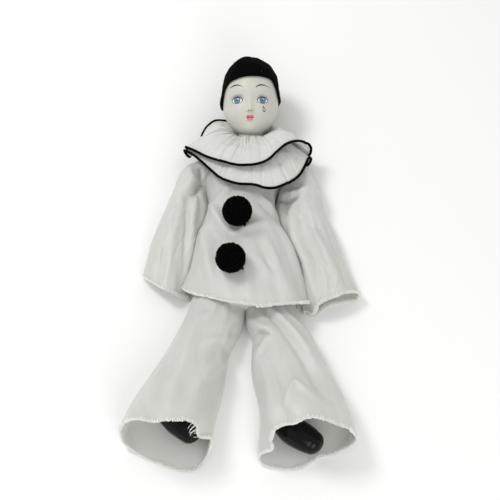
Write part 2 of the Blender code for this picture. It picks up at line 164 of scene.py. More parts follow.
class Finish:
    """One material and short ways to add nodes to it."""

    def __init__(self, name, colour, roughness, more=()):
        self.material = bpy.data.materials.new(name)
        self.material.use_nodes = True
        self.material.diffuse_color = (*colour, 1.0)
        self.tree = self.material.node_tree
        self.shader = self.tree.nodes["Principled BSDF"]
        values = {"Base Color": (*colour, 1.0), "Roughness": roughness, **dict(more)}
        for socket, value in values.items():
            self.shader.inputs[socket].default_value = value

    def node(self, kind, inputs=(), **settings):
        return add_node(self.tree, kind, dict(inputs), settings)

    def join(self, output, socket):
        self.tree.links.new(output, self.shader.inputs[socket])

    def math(self, operation, first, second=0.0, third=0.0):
        inputs = {0: first, 1: second, 2: third}
        return self.node("ShaderNodeMath", inputs, operation=operation).outputs[0]

    def span(self, value, low, high, to_low=0.0, to_high=1.0):
        """A smooth step of value from low to high, from to_low to to_high."""
        inputs = {"Value": value, "From Min": low, "From Max": high}
        inputs.update({"To Min": to_low, "To Max": to_high})
        found = self.node("ShaderNodeMapRange", inputs, interpolation_type="SMOOTHSTEP")
        return found.outputs["Result"]

    def mix(self, factor, first, second):
        """Two colours mixed; either may be a socket."""
        inputs = {0: factor}
        for key, value in ((6, first), (7, second)):
            inputs[key] = (*value, 1.0) if isinstance(value, tuple) else value
        return self.node("ShaderNodeMix", inputs, data_type="RGBA").outputs[2]

    def speckle(self, scale, **more):
        """Noise in object coordinates, with so many swells to the metre."""
        place = self.node("ShaderNodeTexCoord").outputs["Object"]
        inputs = {"Vector": place, "Scale": scale, **more}
        return self.node("ShaderNodeTexNoise", inputs).outputs["Fac"]

    def bump(self, height, strength, distance):
        inputs = {"Height": height, "Strength": strength, "Distance": distance}
        self.join(self.node("ShaderNodeBump", inputs).outputs["Normal"], "Normal")


# %% White satin, and the duller cloth of the ruffles
WEAVE_DEPTH = 0.00012
# How the wave texture's scale follows from a thread's width in metres
THREAD_SCALE = 6.283
# The duller share of the cloth's random tone, and how much paler its inside is painted as painted
# light in the cuffs' shade
DULLER, INSIDE_PAINTED_PALER = 0.955, 1.23


def woven(name, colour, roughness, sheen, thread):
    """Woven cloth: two crossed rows of threads, slight slubs and a cloudy tone."""
    cloth = Finish(name, colour, roughness, {
        "Sheen Weight": sheen, "Sheen Roughness": 0.45, "Specular IOR Level": 0.42,
        "Subsurface Weight": 0.35, "Subsurface Radius": (0.0025, 0.0025, 0.0023),
        "Subsurface Scale": 1.0,
    })
    where = cloth.node("ShaderNodeUVMap", uv_map="cloth").outputs["UV"]
    rows = []
    for way in ("X", "Y"):
        inputs = {"Vector": where, "Scale": 1 / (thread * THREAD_SCALE), "Distortion": 0.6}
        inputs.update({"Detail": 1.0, "Detail Scale": 0.5})
        rows.append(cloth.node("ShaderNodeTexWave", inputs, bands_direction=way).outputs["Fac"])
    crumple = cloth.math("MULTIPLY", cloth.speckle(420.0, Detail=3.0), 1.5)
    cloth.bump(cloth.math("ADD", cloth.math("MULTIPLY", *rows), crumple), 0.35, WEAVE_DEPTH)
    cloud = cloth.speckle(26.0, Detail=2.0)
    dull, pale = (tuple(c * share for c in colour) for share in (DULLER, INSIDE_PAINTED_PALER))
    right_side = cloth.mix(cloth.span(cloud, 0.3, 0.7), colour, dull)
    # Inside the hems the cloth is painted paler: painted light against the shade in the cuffs
    painted_inside_light = cloth.node("ShaderNodeAttribute", attribute_name="painted_inside_light").outputs["Fac"]
    cloth.join(cloth.mix(painted_inside_light, right_side, pale), "Base Color")
    cloth.join(cloth.span(cloud, 0.35, 0.65, roughness - 0.04, roughness + 0.05), "Roughness")
    return cloth.material


satin = woven("white satin", (0.615, 0.62, 0.59), 0.42, 0.15, 0.00022)
voile = woven("white ruffle cloth", (0.69, 0.695, 0.66), 0.75, 0.2, 0.00030)
print("cloth:", satin.name, "and", voile.name)


# %% Black velour, black wool and thread
def napped(name, colour, roughness, sheen, grain, depth):
    """Cloth or yarn with a nap: fine noise, a dusty sheen and no gloss."""
    shine = {"Sheen Weight": sheen, "Sheen Roughness": 0.35, "Specular IOR Level": 0.05}
    nap = Finish(name, colour, roughness, shine)
    hairs = nap.speckle(grain, Detail=4.0)
    nap.bump(hairs, 0.7, depth)
    paler = tuple(c * 2.2 for c in colour)
    nap.join(nap.mix(nap.span(hairs, 0.52, 0.75), colour, paler), "Base Color")
    return nap.material


velour = napped("black velour", (0.0011, 0.0011, 0.0011), 0.95, 0.003, 900.0, 0.0004)
wool = napped("black wool", (0.0016, 0.0016, 0.0016), 0.92, 0.006, 1400.0, 0.0003)
thread_white = napped("white thread", (0.72, 0.72, 0.69), 0.7, 0.1, 2500.0, 0.0001)
lint = napped("pale lint", (0.17, 0.165, 0.16), 0.9, 0.05, 2500.0, 0.0001)
print("black cloth:", velour.name, "and", wool.name)

# %% Black glaze and painted lines
gloss = {"Specular IOR Level": 0.1, "Coat Weight": 0.12, "Coat Roughness": 0.04}
glaze = Finish("black glaze", (0.004, 0.004, 0.0045), 0.3, gloss)
orange_peel = glaze.speckle(160.0)
glaze.bump(orange_peel, 0.12, 0.0006)
glaze.join(glaze.span(orange_peel, 0.3, 0.7, 0.16, 0.24), "Roughness")
line_paint = Finish("dark china paint", (0.022, 0.020, 0.022), 0.4)
streaks = line_paint.speckle(700.0)
streaked = line_paint.mix(streaks, (0.012, 0.011, 0.012), (0.05, 0.045, 0.048))
line_paint.join(streaked, "Base Color")
print("paint:", glaze.material.name, "and", line_paint.material.name)

# %% [markdown]
# ## Curves, rings and shells
#
# Most pieces of the doll are tubes: a sleeve, a leg, a cap. Each is drawn as rings of points
# along a smooth curve. `shell` joins the rings with quads, closes both ends with a fan and
# lays out a UV map in real lengths, which is what keeps a weave the same size everywhere.

# %% Turns, bells and directions
ACROSS = np.array((1.0, 0, 0))


def full_turn(count):
    """Angles once round, evenly spread."""
    return math.tau * np.arange(count) / count


def circle(turn, front):
    """Unit steps round a circle, from its front towards the doll's left."""
    return np.cos(turn)[:, None] * front + np.sin(turn)[:, None] * ACROSS


def bell(away):
    """1 in the middle, and nearly 0 from 2 away."""
    return np.exp(-(away**2))


def unit(vectors):
    return vectors / np.maximum(np.linalg.norm(vectors, axis=-1, keepdims=True), 1e-12)


# %% A smooth curve through a few rows of numbers
TABLE_STEPS = 2400


def curve_through(rows, count, closed=False):
    """Catmull-Rom: rows evenly spread on a smooth curve through the given rows."""
    rows = np.array(rows, float)
    spans = len(rows) if closed else len(rows) - 1
    places = np.arange(count) * spans / (count if closed else count - 1)
    start = np.minimum(places.astype(int), spans - 1)
    t = (places - start)[:, None]

    def near(step):
        at = start + step
        return rows[at % len(rows)] if closed else rows[np.clip(at, 0, len(rows) - 1)]

    a, b, c, d = (near(step) for step in (-1, 0, 1, 2))
    bend = 2 * a - 5 * b + 4 * c - d
    return b + 0.5 * ((c - a) * t + bend * t**2 + (3 * (b - c) + d - a) * t**3)


def by_turn(table, turn):
    """The rest of a table's columns at each turn, on a smooth closed curve; degrees come first."""
    rows = np.array(table, float)
    lap = np.zeros(rows.shape[1])
    lap[0] = 360
    dense = curve_through(np.concatenate((rows[-3:] - lap, rows, rows[:3] + lap)), TABLE_STEPS)
    at = np.degrees(turn)
    return np.column_stack([np.interp(at, dense[:, 0], column) for column in dense[:, 1:].T])


# %% A closed shell from rings, and what finishes every piece
def shell(name, rings, look, loop=False):
    """Rings of points, in metres, joined by quads; a loop joins the last to the first."""
    rings = np.asarray(rings, float)
    count, around = rings.shape[:2]
    rows = count if loop else count - 1
    i, j = np.arange(rows)[:, None], np.arange(around)[None, :]
    low, high = i * around, (i + 1) % count * around
    k = (j + 1) % around
    corners = np.broadcast_arrays(low + j, low + k, high + k, high + j)
    quads = np.stack(corners, -1).reshape(-1, 4)
    points, faces = rings.reshape(-1, 3), quads.tolist()
    round_step = np.linalg.norm(np.roll(rings, -1, 1) - rings, axis=2).mean()
    along_step = np.linalg.norm(np.diff(rings, axis=0), axis=2).mean()
    across = np.stack(np.broadcast_arrays(j, j + 1, j + 1, j), -1) * round_step
    along = np.stack(np.broadcast_arrays(i, i, i + 1, i + 1), -1) * along_step
    shape = (rows, around, 4)
    spots = [np.broadcast_to(values, shape) for values in (across, along)]
    layout = np.stack(spots, -1).reshape(-1, 2)
    if not loop:
        for first in (0, (count - 1) * around):
            ring = first + np.arange(around)
            points = np.vstack((points, points[ring].mean(axis=0)))
            tips = np.full(around, len(points) - 1)
            faces += np.stack((ring, np.roll(ring, -1), tips), -1).tolist()
        layout = np.vstack((layout, np.zeros((6 * around, 2))))
    mesh = bpy.data.meshes.new(name)
    mesh.from_pydata(points.tolist(), [], faces)
    mesh.uv_layers.new(name="cloth").data.foreach_set("uv", layout.ravel())
    return finished(name, mesh, look)


def finished(name, mesh, look):
    """An object at the origin, shaded smooth, with its faces pointing out."""
    body = bmesh.new()
    body.from_mesh(mesh)
    bmesh.ops.recalc_face_normals(body, faces=body.faces)
    body.to_mesh(mesh)
    body.free()
    mesh.materials.append(look)
    mesh.shade_smooth()
    made = bpy.data.objects.new(name, mesh)
    bpy.context.scene.collection.objects.link(made)
    print(name, len(mesh.polygons), "faces")
    return made


def joined(name, pieces, look):
    """One piece from several, with their places kept."""
    body = bmesh.new()
    for piece in pieces:
        body.from_mesh(piece.data)
        bpy.data.objects.remove(piece)
    mesh = bpy.data.meshes.new(name)
    body.to_mesh(mesh)
    body.free()
    return finished(name, mesh, look)


# %% [markdown]
# ## The suit's tubes
#
# The tunic's body, its sleeves and the trouser legs are all tubes of cloth that lie on the
# floor: round above, flat below, wider at the hem. A station gives both edges of the tube,
# its height, and how far the hem's top and underside run on. The folds are drawn on the
# plan as lines with a width and a height, and push the cloth out or in along its normal.

# %% Stations on the plan
# left x, y, right x, y, height, and how far the top and the underside run on
TORSO = (
    (-18, 122, 19, 122, 35, 6, -6),
    (-27, 111, 28, 111, 35, 3, -3),
    (-40, 100, 39, 100, 36, 0, 0),
    (-45, 86, 38, 86, 39, 0, 0),
    (-43, 68, 27, 68, 44, 0, 0),
    (-40, 50, 25, 50, 46, 0, 0),
    (-46, 32, 29, 32, 46, 0, 0),
    (-53, 10, 40, 10, 44, 2, 0),
    (-57, -12, 48, -14, 42, 8, 2),
    (-60, -27, 53, -36, 40, 15, 6),
    (-62, -39, 56, -54, 38, 22, 8),
)
RIGHT_SLEEVE = (
    (-48, 105, -24, 97, 22, 0, 0),
    (-67, 96, -37, 80, 26, 0, 0),
    (-75, 72, -41, 66, 28, 0, 0),
    (-81, 55, -39, 48, 27, 0, 0),
    (-88, 36, -44, 28, 26, 0, 0),
    (-95, 15, -51, 7, 25, 0, 0),
    (-99, -6, -57, -16, 23, 0, 0),
    (-102, -23, -64, -46, 21, 4, -3),
)
LEFT_SLEEVE = (
    (24, 97, 49, 104, 22, 0, 0),
    (29, 80, 63, 90, 27, 0, 0),
    (26, 63, 71, 68, 29, 0, 0),
    (23, 45, 72, 49, 28, 0, 0),
    (29, 26, 80, 30, 27, 0, 0),
    (39, 4, 87, 6, 26, 0, 0),
    (47, -20, 93, -16, 25, 0, 0),
    (54, -44, 99, -33, 24, 1, -2),
    (63, -60, 103, -45, 23, 3, -3),
)
HIPS = (
    (-48, -20, 42, -24, 26, 0, 0),
    (-50, -34, 44, -36, 28, 0, 0),
    (-52, -50, 44, -50, 27, 0, 0),
    (-50, -60, 40, -60, 25, 0, 0),
)
RIGHT_LEG = (
    (-52, -38, -4, -46, 26, 0, 0),
    (-60, -64, -6, -73, 27, 0, 0),
    (-69, -86, -13, -91, 32, 0, 0),
    (-80, -110, -20, -110, 36, 0, 0),
    (-93, -133, -23, -137, 41, 0, 0),
    (-107, -158, -28, -161, 49, -2, 3),
    (-114, -176, -34, -186, 57, -5, 8),
    (-117, -190, -43, -211, 64, -8, 13),
)
LEFT_LEG = (
    (-4, -46, 42, -44, 26, 0, 0),
    (-4, -72, 46, -68, 27, 0, 0),
    (2, -91, 59, -90, 32, 0, 0),
    (1, -113, 69, -113, 36, 0, 0),
    (3, -135, 77, -136, 41, 0, 0),
    (8, -160, 87, -161, 49, -2, 3),
    (9, -184, 94, -179, 56, -5, 8),
    (11, -208, 97, -193, 61, -8, 13),
)
# A tube lies flat on the floor where its round would be lower than this share of its radius
FLAT = 0.35

# %% Hems on the plan
# By degrees round from the side at the doll's left, over the top: x, y, z of the hem
RIGHT_LEG_HEM = (
    (0, -35.1, -199.4, 17), (12, -34.1, -194.7, 23), (24, -38.0, -196.3, 29),
    (33, -44.4, -198.5, 36), (41, -46.1, -196.2, 42), (49, -45.8, -192.8, 47),
    (60, -52.3, -191.3, 53), (74, -59.9, -191.8, 58), (90, -69.4, -192.7, 60),
    (108, -80.6, -193.6, 60), (126, -91.7, -190.8, 57), (144, -103.4, -186.9, 47),
    (160, -110.8, -184.4, 36), (172, -114.9, -185.0, 26), (182, -115.8, -188.3, 17),
    (196, -113.3, -192.7, 8), (212, -104.1, -198.0, 2), (230, -90.5, -205.5, 0.5),
    (250, -76.0, -211.6, 0.5), (270, -64.3, -215.6, 0.5), (290, -54.4, -216.8, 0.5),
    (310, -46.8, -215.1, 1), (330, -42.0, -209.3, 3), (346, -37.9, -204.1, 9),
)
LEFT_LEG_HEM = (
    (0, 95.2, -192.6, 17), (15, 93.2, -191.7, 27), (30, 88.6, -191.5, 38), (45, 80.5, -191.5, 47),
    (60, 71.4, -191.5, 54), (75, 62.1, -190.9, 59), (90, 52.9, -190.3, 61), (103, 45.2, -191.4, 58),
    (116, 37.4, -192.6, 55), (128, 29.7, -190.6, 50), (140, 22.8, -192.2, 42),
    (150, 20.0, -197.0, 36), (158, 18.5, -201.2, 30), (166, 19.1, -204.8, 24),
    (174, 13.3, -204.6, 18), (182, 8.5, -204.9, 12), (196, 7.7, -206.7, 6), (212, 10.7, -210.3, 2),
    (230, 20.5, -213.4, 0.5), (250, 33.3, -215.0, 0.5), (268, 43.7, -214.3, 0.5),
    (282, 53.7, -209.1, 0.5), (296, 62.8, -202.4, 0.5), (312, 70.8, -201.9, 1),
    (328, 80.7, -198.7, 3), (344, 90.3, -195.5, 9),
)
RIGHT_SLEEVE_HEM = (
    (0, -58.3, -41.5, 1), (30, -61.4, -42.8, 5), (60, -69.5, -43.8, 14), (90, -78.6, -42.7, 21),
    (120, -88.3, -35.9, 19), (150, -97.4, -27.0, 13), (180, -101.8, -20.3, 6),
    (210, -99.2, -19.9, 1), (240, -90.5, -25.3, 0), (270, -80.8, -31.8, 0), (300, -70.2, -37.8, 0),
    (330, -61.6, -42.1, 1),
)
LEFT_SLEEVE_HEM = (
    (0, 102.8, -43.7, 6), (15, 102.2, -42.1, 12), (40, 94.7, -43.9, 18), (65, 84.1, -48.5, 21),
    (90, 73.6, -53.2, 22), (110, 66.6, -56.5, 21), (125, 62.7, -57.7, 18), (140, 61.9, -60.3, 13),
    (155, 59.2, -61.9, 8), (170, 54.9, -58.7, 6), (182, 50.3, -57.8, 5), (200, 50.7, -58.2, 1),
    (225, 55.6, -59.8, 0), (245, 61.6, -59.6, 0), (262, 66.5, -54.8, 0), (280, 73.7, -49.1, 0),
    (300, 82.3, -46.6, 0), (320, 90.9, -44.9, 0), (345, 100.7, -44.2, 2),
)
TUNIC_HEM = (
    (0, 56.1, -50.6, 8), (20, 51.3, -56.2, 20), (45, 38.7, -64.2, 33), (65, 23.9, -67.1, 37),
    (80, 11.0, -69.3, 38), (92, 2.3, -68.1, 38), (105, -9.2, -65.9, 37), (120, -22.1, -62.2, 34),
    (138, -39.0, -54.7, 29), (155, -52.8, -47.5, 22), (170, -61.1, -40.9, 16),
    (180, -64.1, -36.3, 12), (200, -59.8, -35.6, 2), (235, -37.9, -45.3, 0), (270, -2.8, -52.8, 0),
    (305, 34.0, -53.8, 0), (340, 52.9, -50.1, 1),
)

# %% Folds on the plan
# Each fold: the points of its line, half width, and height above the cloth (below 0 a crease)
TUNIC_FOLDS = (
    (((-39, 50), (-32, 29), (-21, 8), (-15, 3)), 3.8, 2.3),
    (((-15, 3), (-7, 9), (7, 15), (20, 20)), 4.0, 1.9),
    (((-30, 40), (-22, 20), (-14, 9)), 3.5, -1.8),
    (((-46, 34), (-38, 15), (-27, -3), (-22, -20)), 6.0, -1.8),
    (((-47, 22), (-43, 5), (-38, -25), (-33, -55)), 5.0, 2.2),
    (((-26, 0), (-24, -25), (-22, -58)), 5.0, 1.5),
    (((14, 4), (24, -22), (38, -56)), 5.5, 2.4),
    (((4, -18), (14, -30), (28, -46)), 4.5, 1.7),
    (((4, 2), (14, -16), (22, -40), (26, -62)), 4.0, -1.3),
    (((12, 48), (20, 42), (27, 36)), 3.0, 1.5),
    (((10, 40), (20, 33), (28, 24)), 4.0, -1.3),
    (((-6, -30), (-2, -48), (2, -64)), 5.0, 1.4),
    (((-52, 8), (-53, -14), (-55, -38)), 3.5, -1.2),
    (((30, 20), (40, 0), (48, -30)), 4.0, 1.4),
    (((-10, 62), (-26, 50), (-38, 46)), 4.0, 1.3),
)
RIGHT_SLEEVE_FOLDS = (
    (((-48, 88), (-46, 74), (-53, 60), (-62, 53)), 3.0, -2.9),
    (((-58, 88), (-56, 74), (-63, 62), (-72, 58)), 5.0, 2.4),
    (((-61, 54), (-60, 20), (-62, -14), (-66, -44)), 3.2, -2.2),
    (((-50, 54), (-54, 28), (-58, -4), (-62, -30)), 4.2, 2.0),
    (((-72, 46), (-78, 20), (-84, -2), (-90, -24)), 5.0, 1.8),
    (((-68, 40), (-72, 12), (-74, -16), (-74, -42)), 4.5, 1.6),
    (((-78, 30), (-82, 4), (-84, -34)), 3.5, -1.4),
)
LEFT_SLEEVE_FOLDS = (
    (((25, 57), (30, 54), (35, 51), (40, 51)), 2.2, -1.9),
    (((30, 62), (40, 58), (51, 60), (62, 68)), 4.0, 2.0),
    (((37, 36), (42, 45), (48, 51), (56, 59)), 3.8, 1.8),
    (((44, 58), (56, 62), (68, 58)), 4.5, 1.4),
    (((38, 32), (41, 10), (53, -12), (56, -44)), 4.5, 2.3),
    (((46, 34), (50, 12), (61, -12), (66, -48)), 4.0, -1.8),
    (((58, 38), (64, 12), (76, -18), (84, -42)), 5.0, 1.9),
    (((72, 36), (78, 10), (86, -14), (92, -36)), 4.0, -1.3),
    (((50, 28), (62, 22), (76, 26)), 5.0, -1.2),
)
RIGHT_LEG_FOLDS = (
    (((-12, -90), (-24, -98), (-40, -104)), 4.0, 1.5),
    (((-14, -100), (-26, -110), (-44, -122)), 4.5, -1.4),
    (((-18, -112), (-30, -126), (-46, -146), (-54, -186)), 5.0, 1.9),
    (((-46, -66), (-56, -100), (-66, -140), (-72, -186)), 6.0, 2.0),
    (((-62, -92), (-78, -126), (-92, -160), (-100, -184)), 5.5, 1.8),
    (((-54, -80), (-64, -120), (-80, -176)), 6.0, -1.5),
    (((-30, -56), (-34, -70), (-44, -80)), 4.0, 1.2),
    (((-24, -126), (-30, -150), (-36, -190)), 4.0, -1.6),
)
LEFT_LEG_FOLDS = (
    (((-2, -72), (9, -84), (18, -91)), 3.8, 2.4),
    (((3, -90), (10, -91), (18, -94)), 2.4, -2.6),
    (((19, -94), (12, -104), (6, -114), (5, -140)), 3.5, 2.0),
    (((18, -66), (30, -78), (53, -114), (80, -160)), 5.0, 2.5),
    (((12, -64), (26, -84), (44, -114), (66, -166)), 4.5, -1.8),
    (((30, -64), (46, -84), (60, -112)), 4.0, 1.6),
    (((27, -176), (40, -150), (58, -168)), 3.2, 1.4),
    (((10, -120), (16, -150), (20, -196)), 4.5, 1.9),
    (((18, -128), (26, -160), (32, -200)), 4.0, -1.4),
    (((70, -130), (78, -156), (86, -184)), 5.0, 1.6),
)
print(len(TUNIC_FOLDS) + len(RIGHT_SLEEVE_FOLDS) + len(LEFT_SLEEVE_FOLDS), "folds on the tunic")
print(len(RIGHT_LEG_FOLDS) + len(LEFT_LEG_FOLDS), "folds on the trousers")


# %% How high the folds are at a place
def distance_to_line(x, y, line):
    """How far places are from a line on the plan, and how far along it, 0 to 1, they are."""
    line = np.array(line, float)
    runs = np.diff(line, axis=0)
    lengths = np.linalg.norm(runs, axis=1)
    before = np.concatenate(((0,), np.cumsum(lengths)))
    best, along = np.full(x.shape, np.inf), np.zeros(x.shape)
    for start, run, length, done in zip(line, runs, lengths, before):
        share = ((x - start[0]) * run[0] + (y - start[1]) * run[1]) / length**2
        held = np.clip(share, 0, 1)
        off = np.hypot(x - start[0] - held * run[0], y - start[1] - held * run[1])
        nearer = off < best
        best = np.where(nearer, off, best)
        along = np.where(nearer, (done + held * length) / before[-1], along)
    return best, along


def fold_height(x, y, folds):
    """The folds' height at places on the plan: each swells and dies away along its line."""
    height = np.zeros(x.shape)
    for line, width, tall in folds:
        off, along = distance_to_line(x, y, line)
        spread = width * (0.75 + 0.5 * along)
        height += tall * bell(off / spread) * np.sin(math.pi * (0.12 + 0.76 * along))
    return height


# %% The surface of one tube
def flat_share(up):
    """How high a place on the tube is, 0 where it meets the floor and 1 at the top."""
    return (up + FLAT) / (1 + FLAT)


def tube_surface(stations, around, count):
    """Points of a tube on the plan, by row from the body to the hem, and how high each is."""
    rows = curve_through(stations, count)
    left, right = rows[:, 0:2], rows[:, 2:4]
    middle, half = (left + right) / 2, (right - left) / 2
    way = unit(np.gradient(middle, axis=0))
    turn = full_turn(around)
    side, up = np.cos(turn), np.sin(turn)
    lip = rows[:, 5:6] * np.maximum(up, 0) + rows[:, 6:7] * np.maximum(-up, 0)
    flat = middle[:, None] + half[:, None] * side[None, :, None] + way[:, None] * lip[..., None]
    rise = rows[:, 4:5] * np.maximum(0, flat_share(up))
    return np.concatenate((flat, rise[..., None]), axis=2), np.broadcast_to(up, flat.shape[:2])


def grid_normals(grid):
    along = np.gradient(grid, axis=0)
    across = np.roll(grid, -1, axis=1) - np.roll(grid, 1, axis=1)
    return unit(np.cross(across, along))


def crumpled(grid, scale, seed, octaves=3):
    """Smooth noise, about -0.5 to 0.5, at each point of a grid on the plan."""
    shift = Vector((seed * 17.3, seed * 5.9, seed * 11.1))
    flat = grid.reshape(-1, 3)
    found = [noise.fractal(Vector(p) * scale + shift, 0.9, 2.1, octaves) for p in flat.tolist()]
    return np.array(found).reshape(grid.shape[:2])


def wrinkles(count, wide, long, twist, seed):
    """Noise drawn out along a tube, so that it reads as folds and not as dents."""
    along = np.arange(count)[:, None] * CLOTH_SPACING
    angle = full_turn(CLOTH_COLUMNS) + along * twist
    round_it = [way(angle) * TUBE_RADIUS / wide for way in (np.cos, np.sin)]
    places = np.stack((*round_it, along / long + 0 * angle), -1)
    found = crumpled(places, 1.0, seed, 2)
    return found - 0.5 * np.abs(found)


# %% Hems
def hemmed(grid, hollow, thickness):
    """Rings of a closed tube: the outside, a rolled hem, and the inside of its last rows."""
    inward = -grid_normals(grid)
    ahead = unit(grid[-1] - grid[-2])
    roll = []
    for k in range(1, 4):
        angle = math.pi * k / 4
        sunk = inward[-1] * (1 - math.cos(angle)) * thickness / 2
        roll.append(grid[-1] + sunk + ahead * math.sin(angle) * thickness / 2)
    inside = (grid + inward * thickness)[: -1 - hollow : -1]
    return np.concatenate((grid, np.array(roll), inside))


# %% Sewing one garment
CLOTH_SPACING, CLOTH_COLUMNS = 1.3, 240
TUBE_RADIUS = 34
HEM_THICKNESS, HEM_REACH = 1.1, 34
FOLD_DEPTH = 1.9
# How wide and how long the slack in the cloth is, its twist round the tube, and its height
BROAD_SLACK, BROAD_HEIGHT = (19, 85, 0.006), 2.0
FINE_SLACK, FINE_HEIGHT = (9, 40, -0.012), 0.5
PUCKER_LENGTH, PUCKER_REACH, PUCKER_HEIGHT = 4.5, 5, 0.9


def led_to_hem(grid, hem):
    """The tube's last rows drawn out or in, so that it ends on the hem's line."""
    reach = np.arange(len(grid))[::-1] * CLOTH_SPACING
    ease = np.clip(1 - reach / HEM_REACH, 0, 1)
    ease = ease * ease * (3 - 2 * ease)
    return grid + ease[:, None, None] * (by_turn(hem, full_turn(grid.shape[1])) - grid[-1])


def slack_and_pucker(grid, seed):
    """How far soft cloth stands out of its tube, and how its hem is drawn together."""
    count = len(grid)
    slack = wrinkles(count, *BROAD_SLACK, seed) * BROAD_HEIGHT
    slack = slack + wrinkles(count, *FINE_SLACK, seed + 9) * FINE_HEIGHT
    near_hem = np.exp(-np.arange(count)[::-1] * CLOTH_SPACING / PUCKER_REACH)[:, None]
    return slack + crumpled(grid, 1 / PUCKER_LENGTH, seed + 2, 2) * near_hem * PUCKER_HEIGHT


def garment(name, stations, hollow, folds, hem, seed):
    """A tube of satin with its folds, creases and hem; returns the piece and its grid."""
    middles = np.array(stations)[:, 0:2] + np.array(stations)[:, 2:4]
    length = np.linalg.norm(np.diff(middles / 2, axis=0), axis=1).sum()
    count = int(length / CLOTH_SPACING)
    grid, up = tube_surface(stations, CLOTH_COLUMNS, count)
    if hem:
        grid = led_to_hem(grid, hem)
    above = np.clip(flat_share(up), 0, 1)
    lift = fold_height(grid[..., 0], grid[..., 1], folds) * np.maximum(up, 0) ** 0.5 * FOLD_DEPTH
    out = lift + slack_and_pucker(grid, seed) * above**0.7
    grid = grid + grid_normals(grid) * out[..., None]
    grid[..., 2] = np.maximum(grid[..., 2], 0.0)
    rings = hemmed(grid, int(hollow * count), HEM_THICKNESS)
    piece = shell(name, to_frame(rings), satin)
    # The inside painted paler, as painted light in the cuffs' shade, starts in the middle of the
    # rolled hem
    inside = np.zeros(len(piece.data.vertices))
    inside[(count + 2) * CLOTH_COLUMNS : len(rings) * CLOTH_COLUMNS] = 1
    piece.data.attributes.new("painted_inside_light", "FLOAT", "POINT").data.foreach_set("value", inside)
    return piece, grid


# %% Six garments
# Name, stations, the share of it that is hollow from its hem, folds and hem
GARMENTS = (
    ("tunic_body", TORSO, 0.22, TUNIC_FOLDS, TUNIC_HEM),
    ("right_sleeve", RIGHT_SLEEVE, 0.24, RIGHT_SLEEVE_FOLDS, RIGHT_SLEEVE_HEM),
    ("left_sleeve", LEFT_SLEEVE, 0.24, LEFT_SLEEVE_FOLDS, LEFT_SLEEVE_HEM),
    ("trouser_hips", HIPS, 0.0, (), ()),
    ("right_trouser_leg", RIGHT_LEG, 0.48, RIGHT_LEG_FOLDS, RIGHT_LEG_HEM),
    ("left_trouser_leg", LEFT_LEG, 0.48, LEFT_LEG_FOLDS, LEFT_LEG_HEM),
)
suit, grids = {}, {}
for seed, (name, *cut) in enumerate(GARMENTS, 1):
    suit[name], grids[name] = garment(name, *cut, seed)

# %% [markdown]
# ## The ruffles
#
# Two layers of dull white cloth are gathered tightly round the neck and fall out to a piped
# edge. The gathers are creases that start at the neck and die out at different lengths, so
# the rim stays nearly smooth. Where the rim curls under at both shoulders, the cloth is
# tucked back below its own bulge. The upper layer rises beside the jaw and dips at the chin.

# %% The ruffles' outlines on the plan
NECK_CENTRE = np.array((0.5, 126.0, 21.5))
NECK_RING = 18.2
RUFFLE_SLANT = math.radians(66)
# By degrees round from the front: x, y, z of the rim, and how far the cloth swells behind it
UPPER_RIM = (
    (0, 1.0, 70.9, 60, 6), (14, 11.4, 74.5, 59, 6), (27, 19.1, 80.6, 57, 6),
    (40, 25.4, 89.9, 54, 7), (54, 33.8, 101.1, 50, 8), (68, 44.7, 109.3, 43, 10),
    (80, 55.3, 112.8, 34, 11), (91, 59.4, 113.0, 24, 13), (102, 57.6, 111.7, 14, 15),
    (116, 50.6, 117.1, 9, 18), (132, 38.0, 130.4, 6, 19), (150, 24.1, 140.7, 5, 17),
    (168, 12.1, 146.7, 5, 11), (186, -2.0, 151.6, 5, 4), (204, -14.5, 155.2, 6, 3),
    (220, -26.2, 156.3, 8, 3), (234, -35.4, 155.4, 8.5, 3.5), (248, -42.0, 149.7, 9, 4.5),
    (258, -46.3, 140.8, 10, 8), (268, -49.3, 131.0, 12, 15), (277, -57.9, 115.5, 19, 16),
    (285, -62.2, 112.3, 28, 13), (295, -54.5, 102.8, 37, 9), (308, -41.5, 89.9, 46, 6),
    (325, -27.7, 79.3, 54, 6), (342, -13.3, 72.8, 58, 6),
)
LOWER_RIM = (
    (0, 3.2, 52.6, 54, 6), (13, 15.2, 49.7, 53, 6), (26, 25.7, 52.2, 50, 6),
    (39, 36.8, 60.8, 45, 6), (52, 45.7, 72.1, 38, 7), (65, 51.7, 85.8, 31, 8),
    (77, 56.8, 101.8, 25, 9), (87, 59.3, 104.8, 17, 9), (96, 55.2, 103.2, 9, 9),
    (110, 49.7, 114.3, 5, 14), (128, 39.0, 126.9, 4, 15), (148, 27.1, 136.5, 4, 12),
    (168, 12.1, 143.8, 4, 7), (186, -2.0, 148.6, 4, 3), (204, -14.4, 150.5, 4, 3),
    (220, -25.4, 151.5, 5, 2), (236, -35.8, 148.0, 6, 3), (250, -44.6, 137.6, 8, 5),
    (262, -53.7, 125.3, 10, 8), (270, -58.6, 110.0, 14, 8), (278, -63.6, 112.3, 22, 6),
    (290, -53.6, 99.6, 32, 6), (305, -40.0, 79.8, 42, 6), (322, -26.7, 62.1, 50, 6),
    (341, -12.3, 54.8, 53, 6),
)
BULGE_OUT = 0.45
SIDE_RISE, CHIN_DIP = 9.0, 4.6
GATHERS = 54
FRILL_HEIGHT, FRILL_REACH = 0.8, 0.07
RUFFLE_PLEATS, PLEAT_HEIGHT = 11, 0.35
SOFT_LENGTH, SOFT_HEIGHT = 14, 1.6
RUFFLE_COLUMNS, RUFFLE_ROWS = 760, 34
RUFFLE_THICKNESS, RUFFLE_LOWEST = 0.6, 2.2
CORD_AHEAD, CORD_UP = 1.0, 0.6


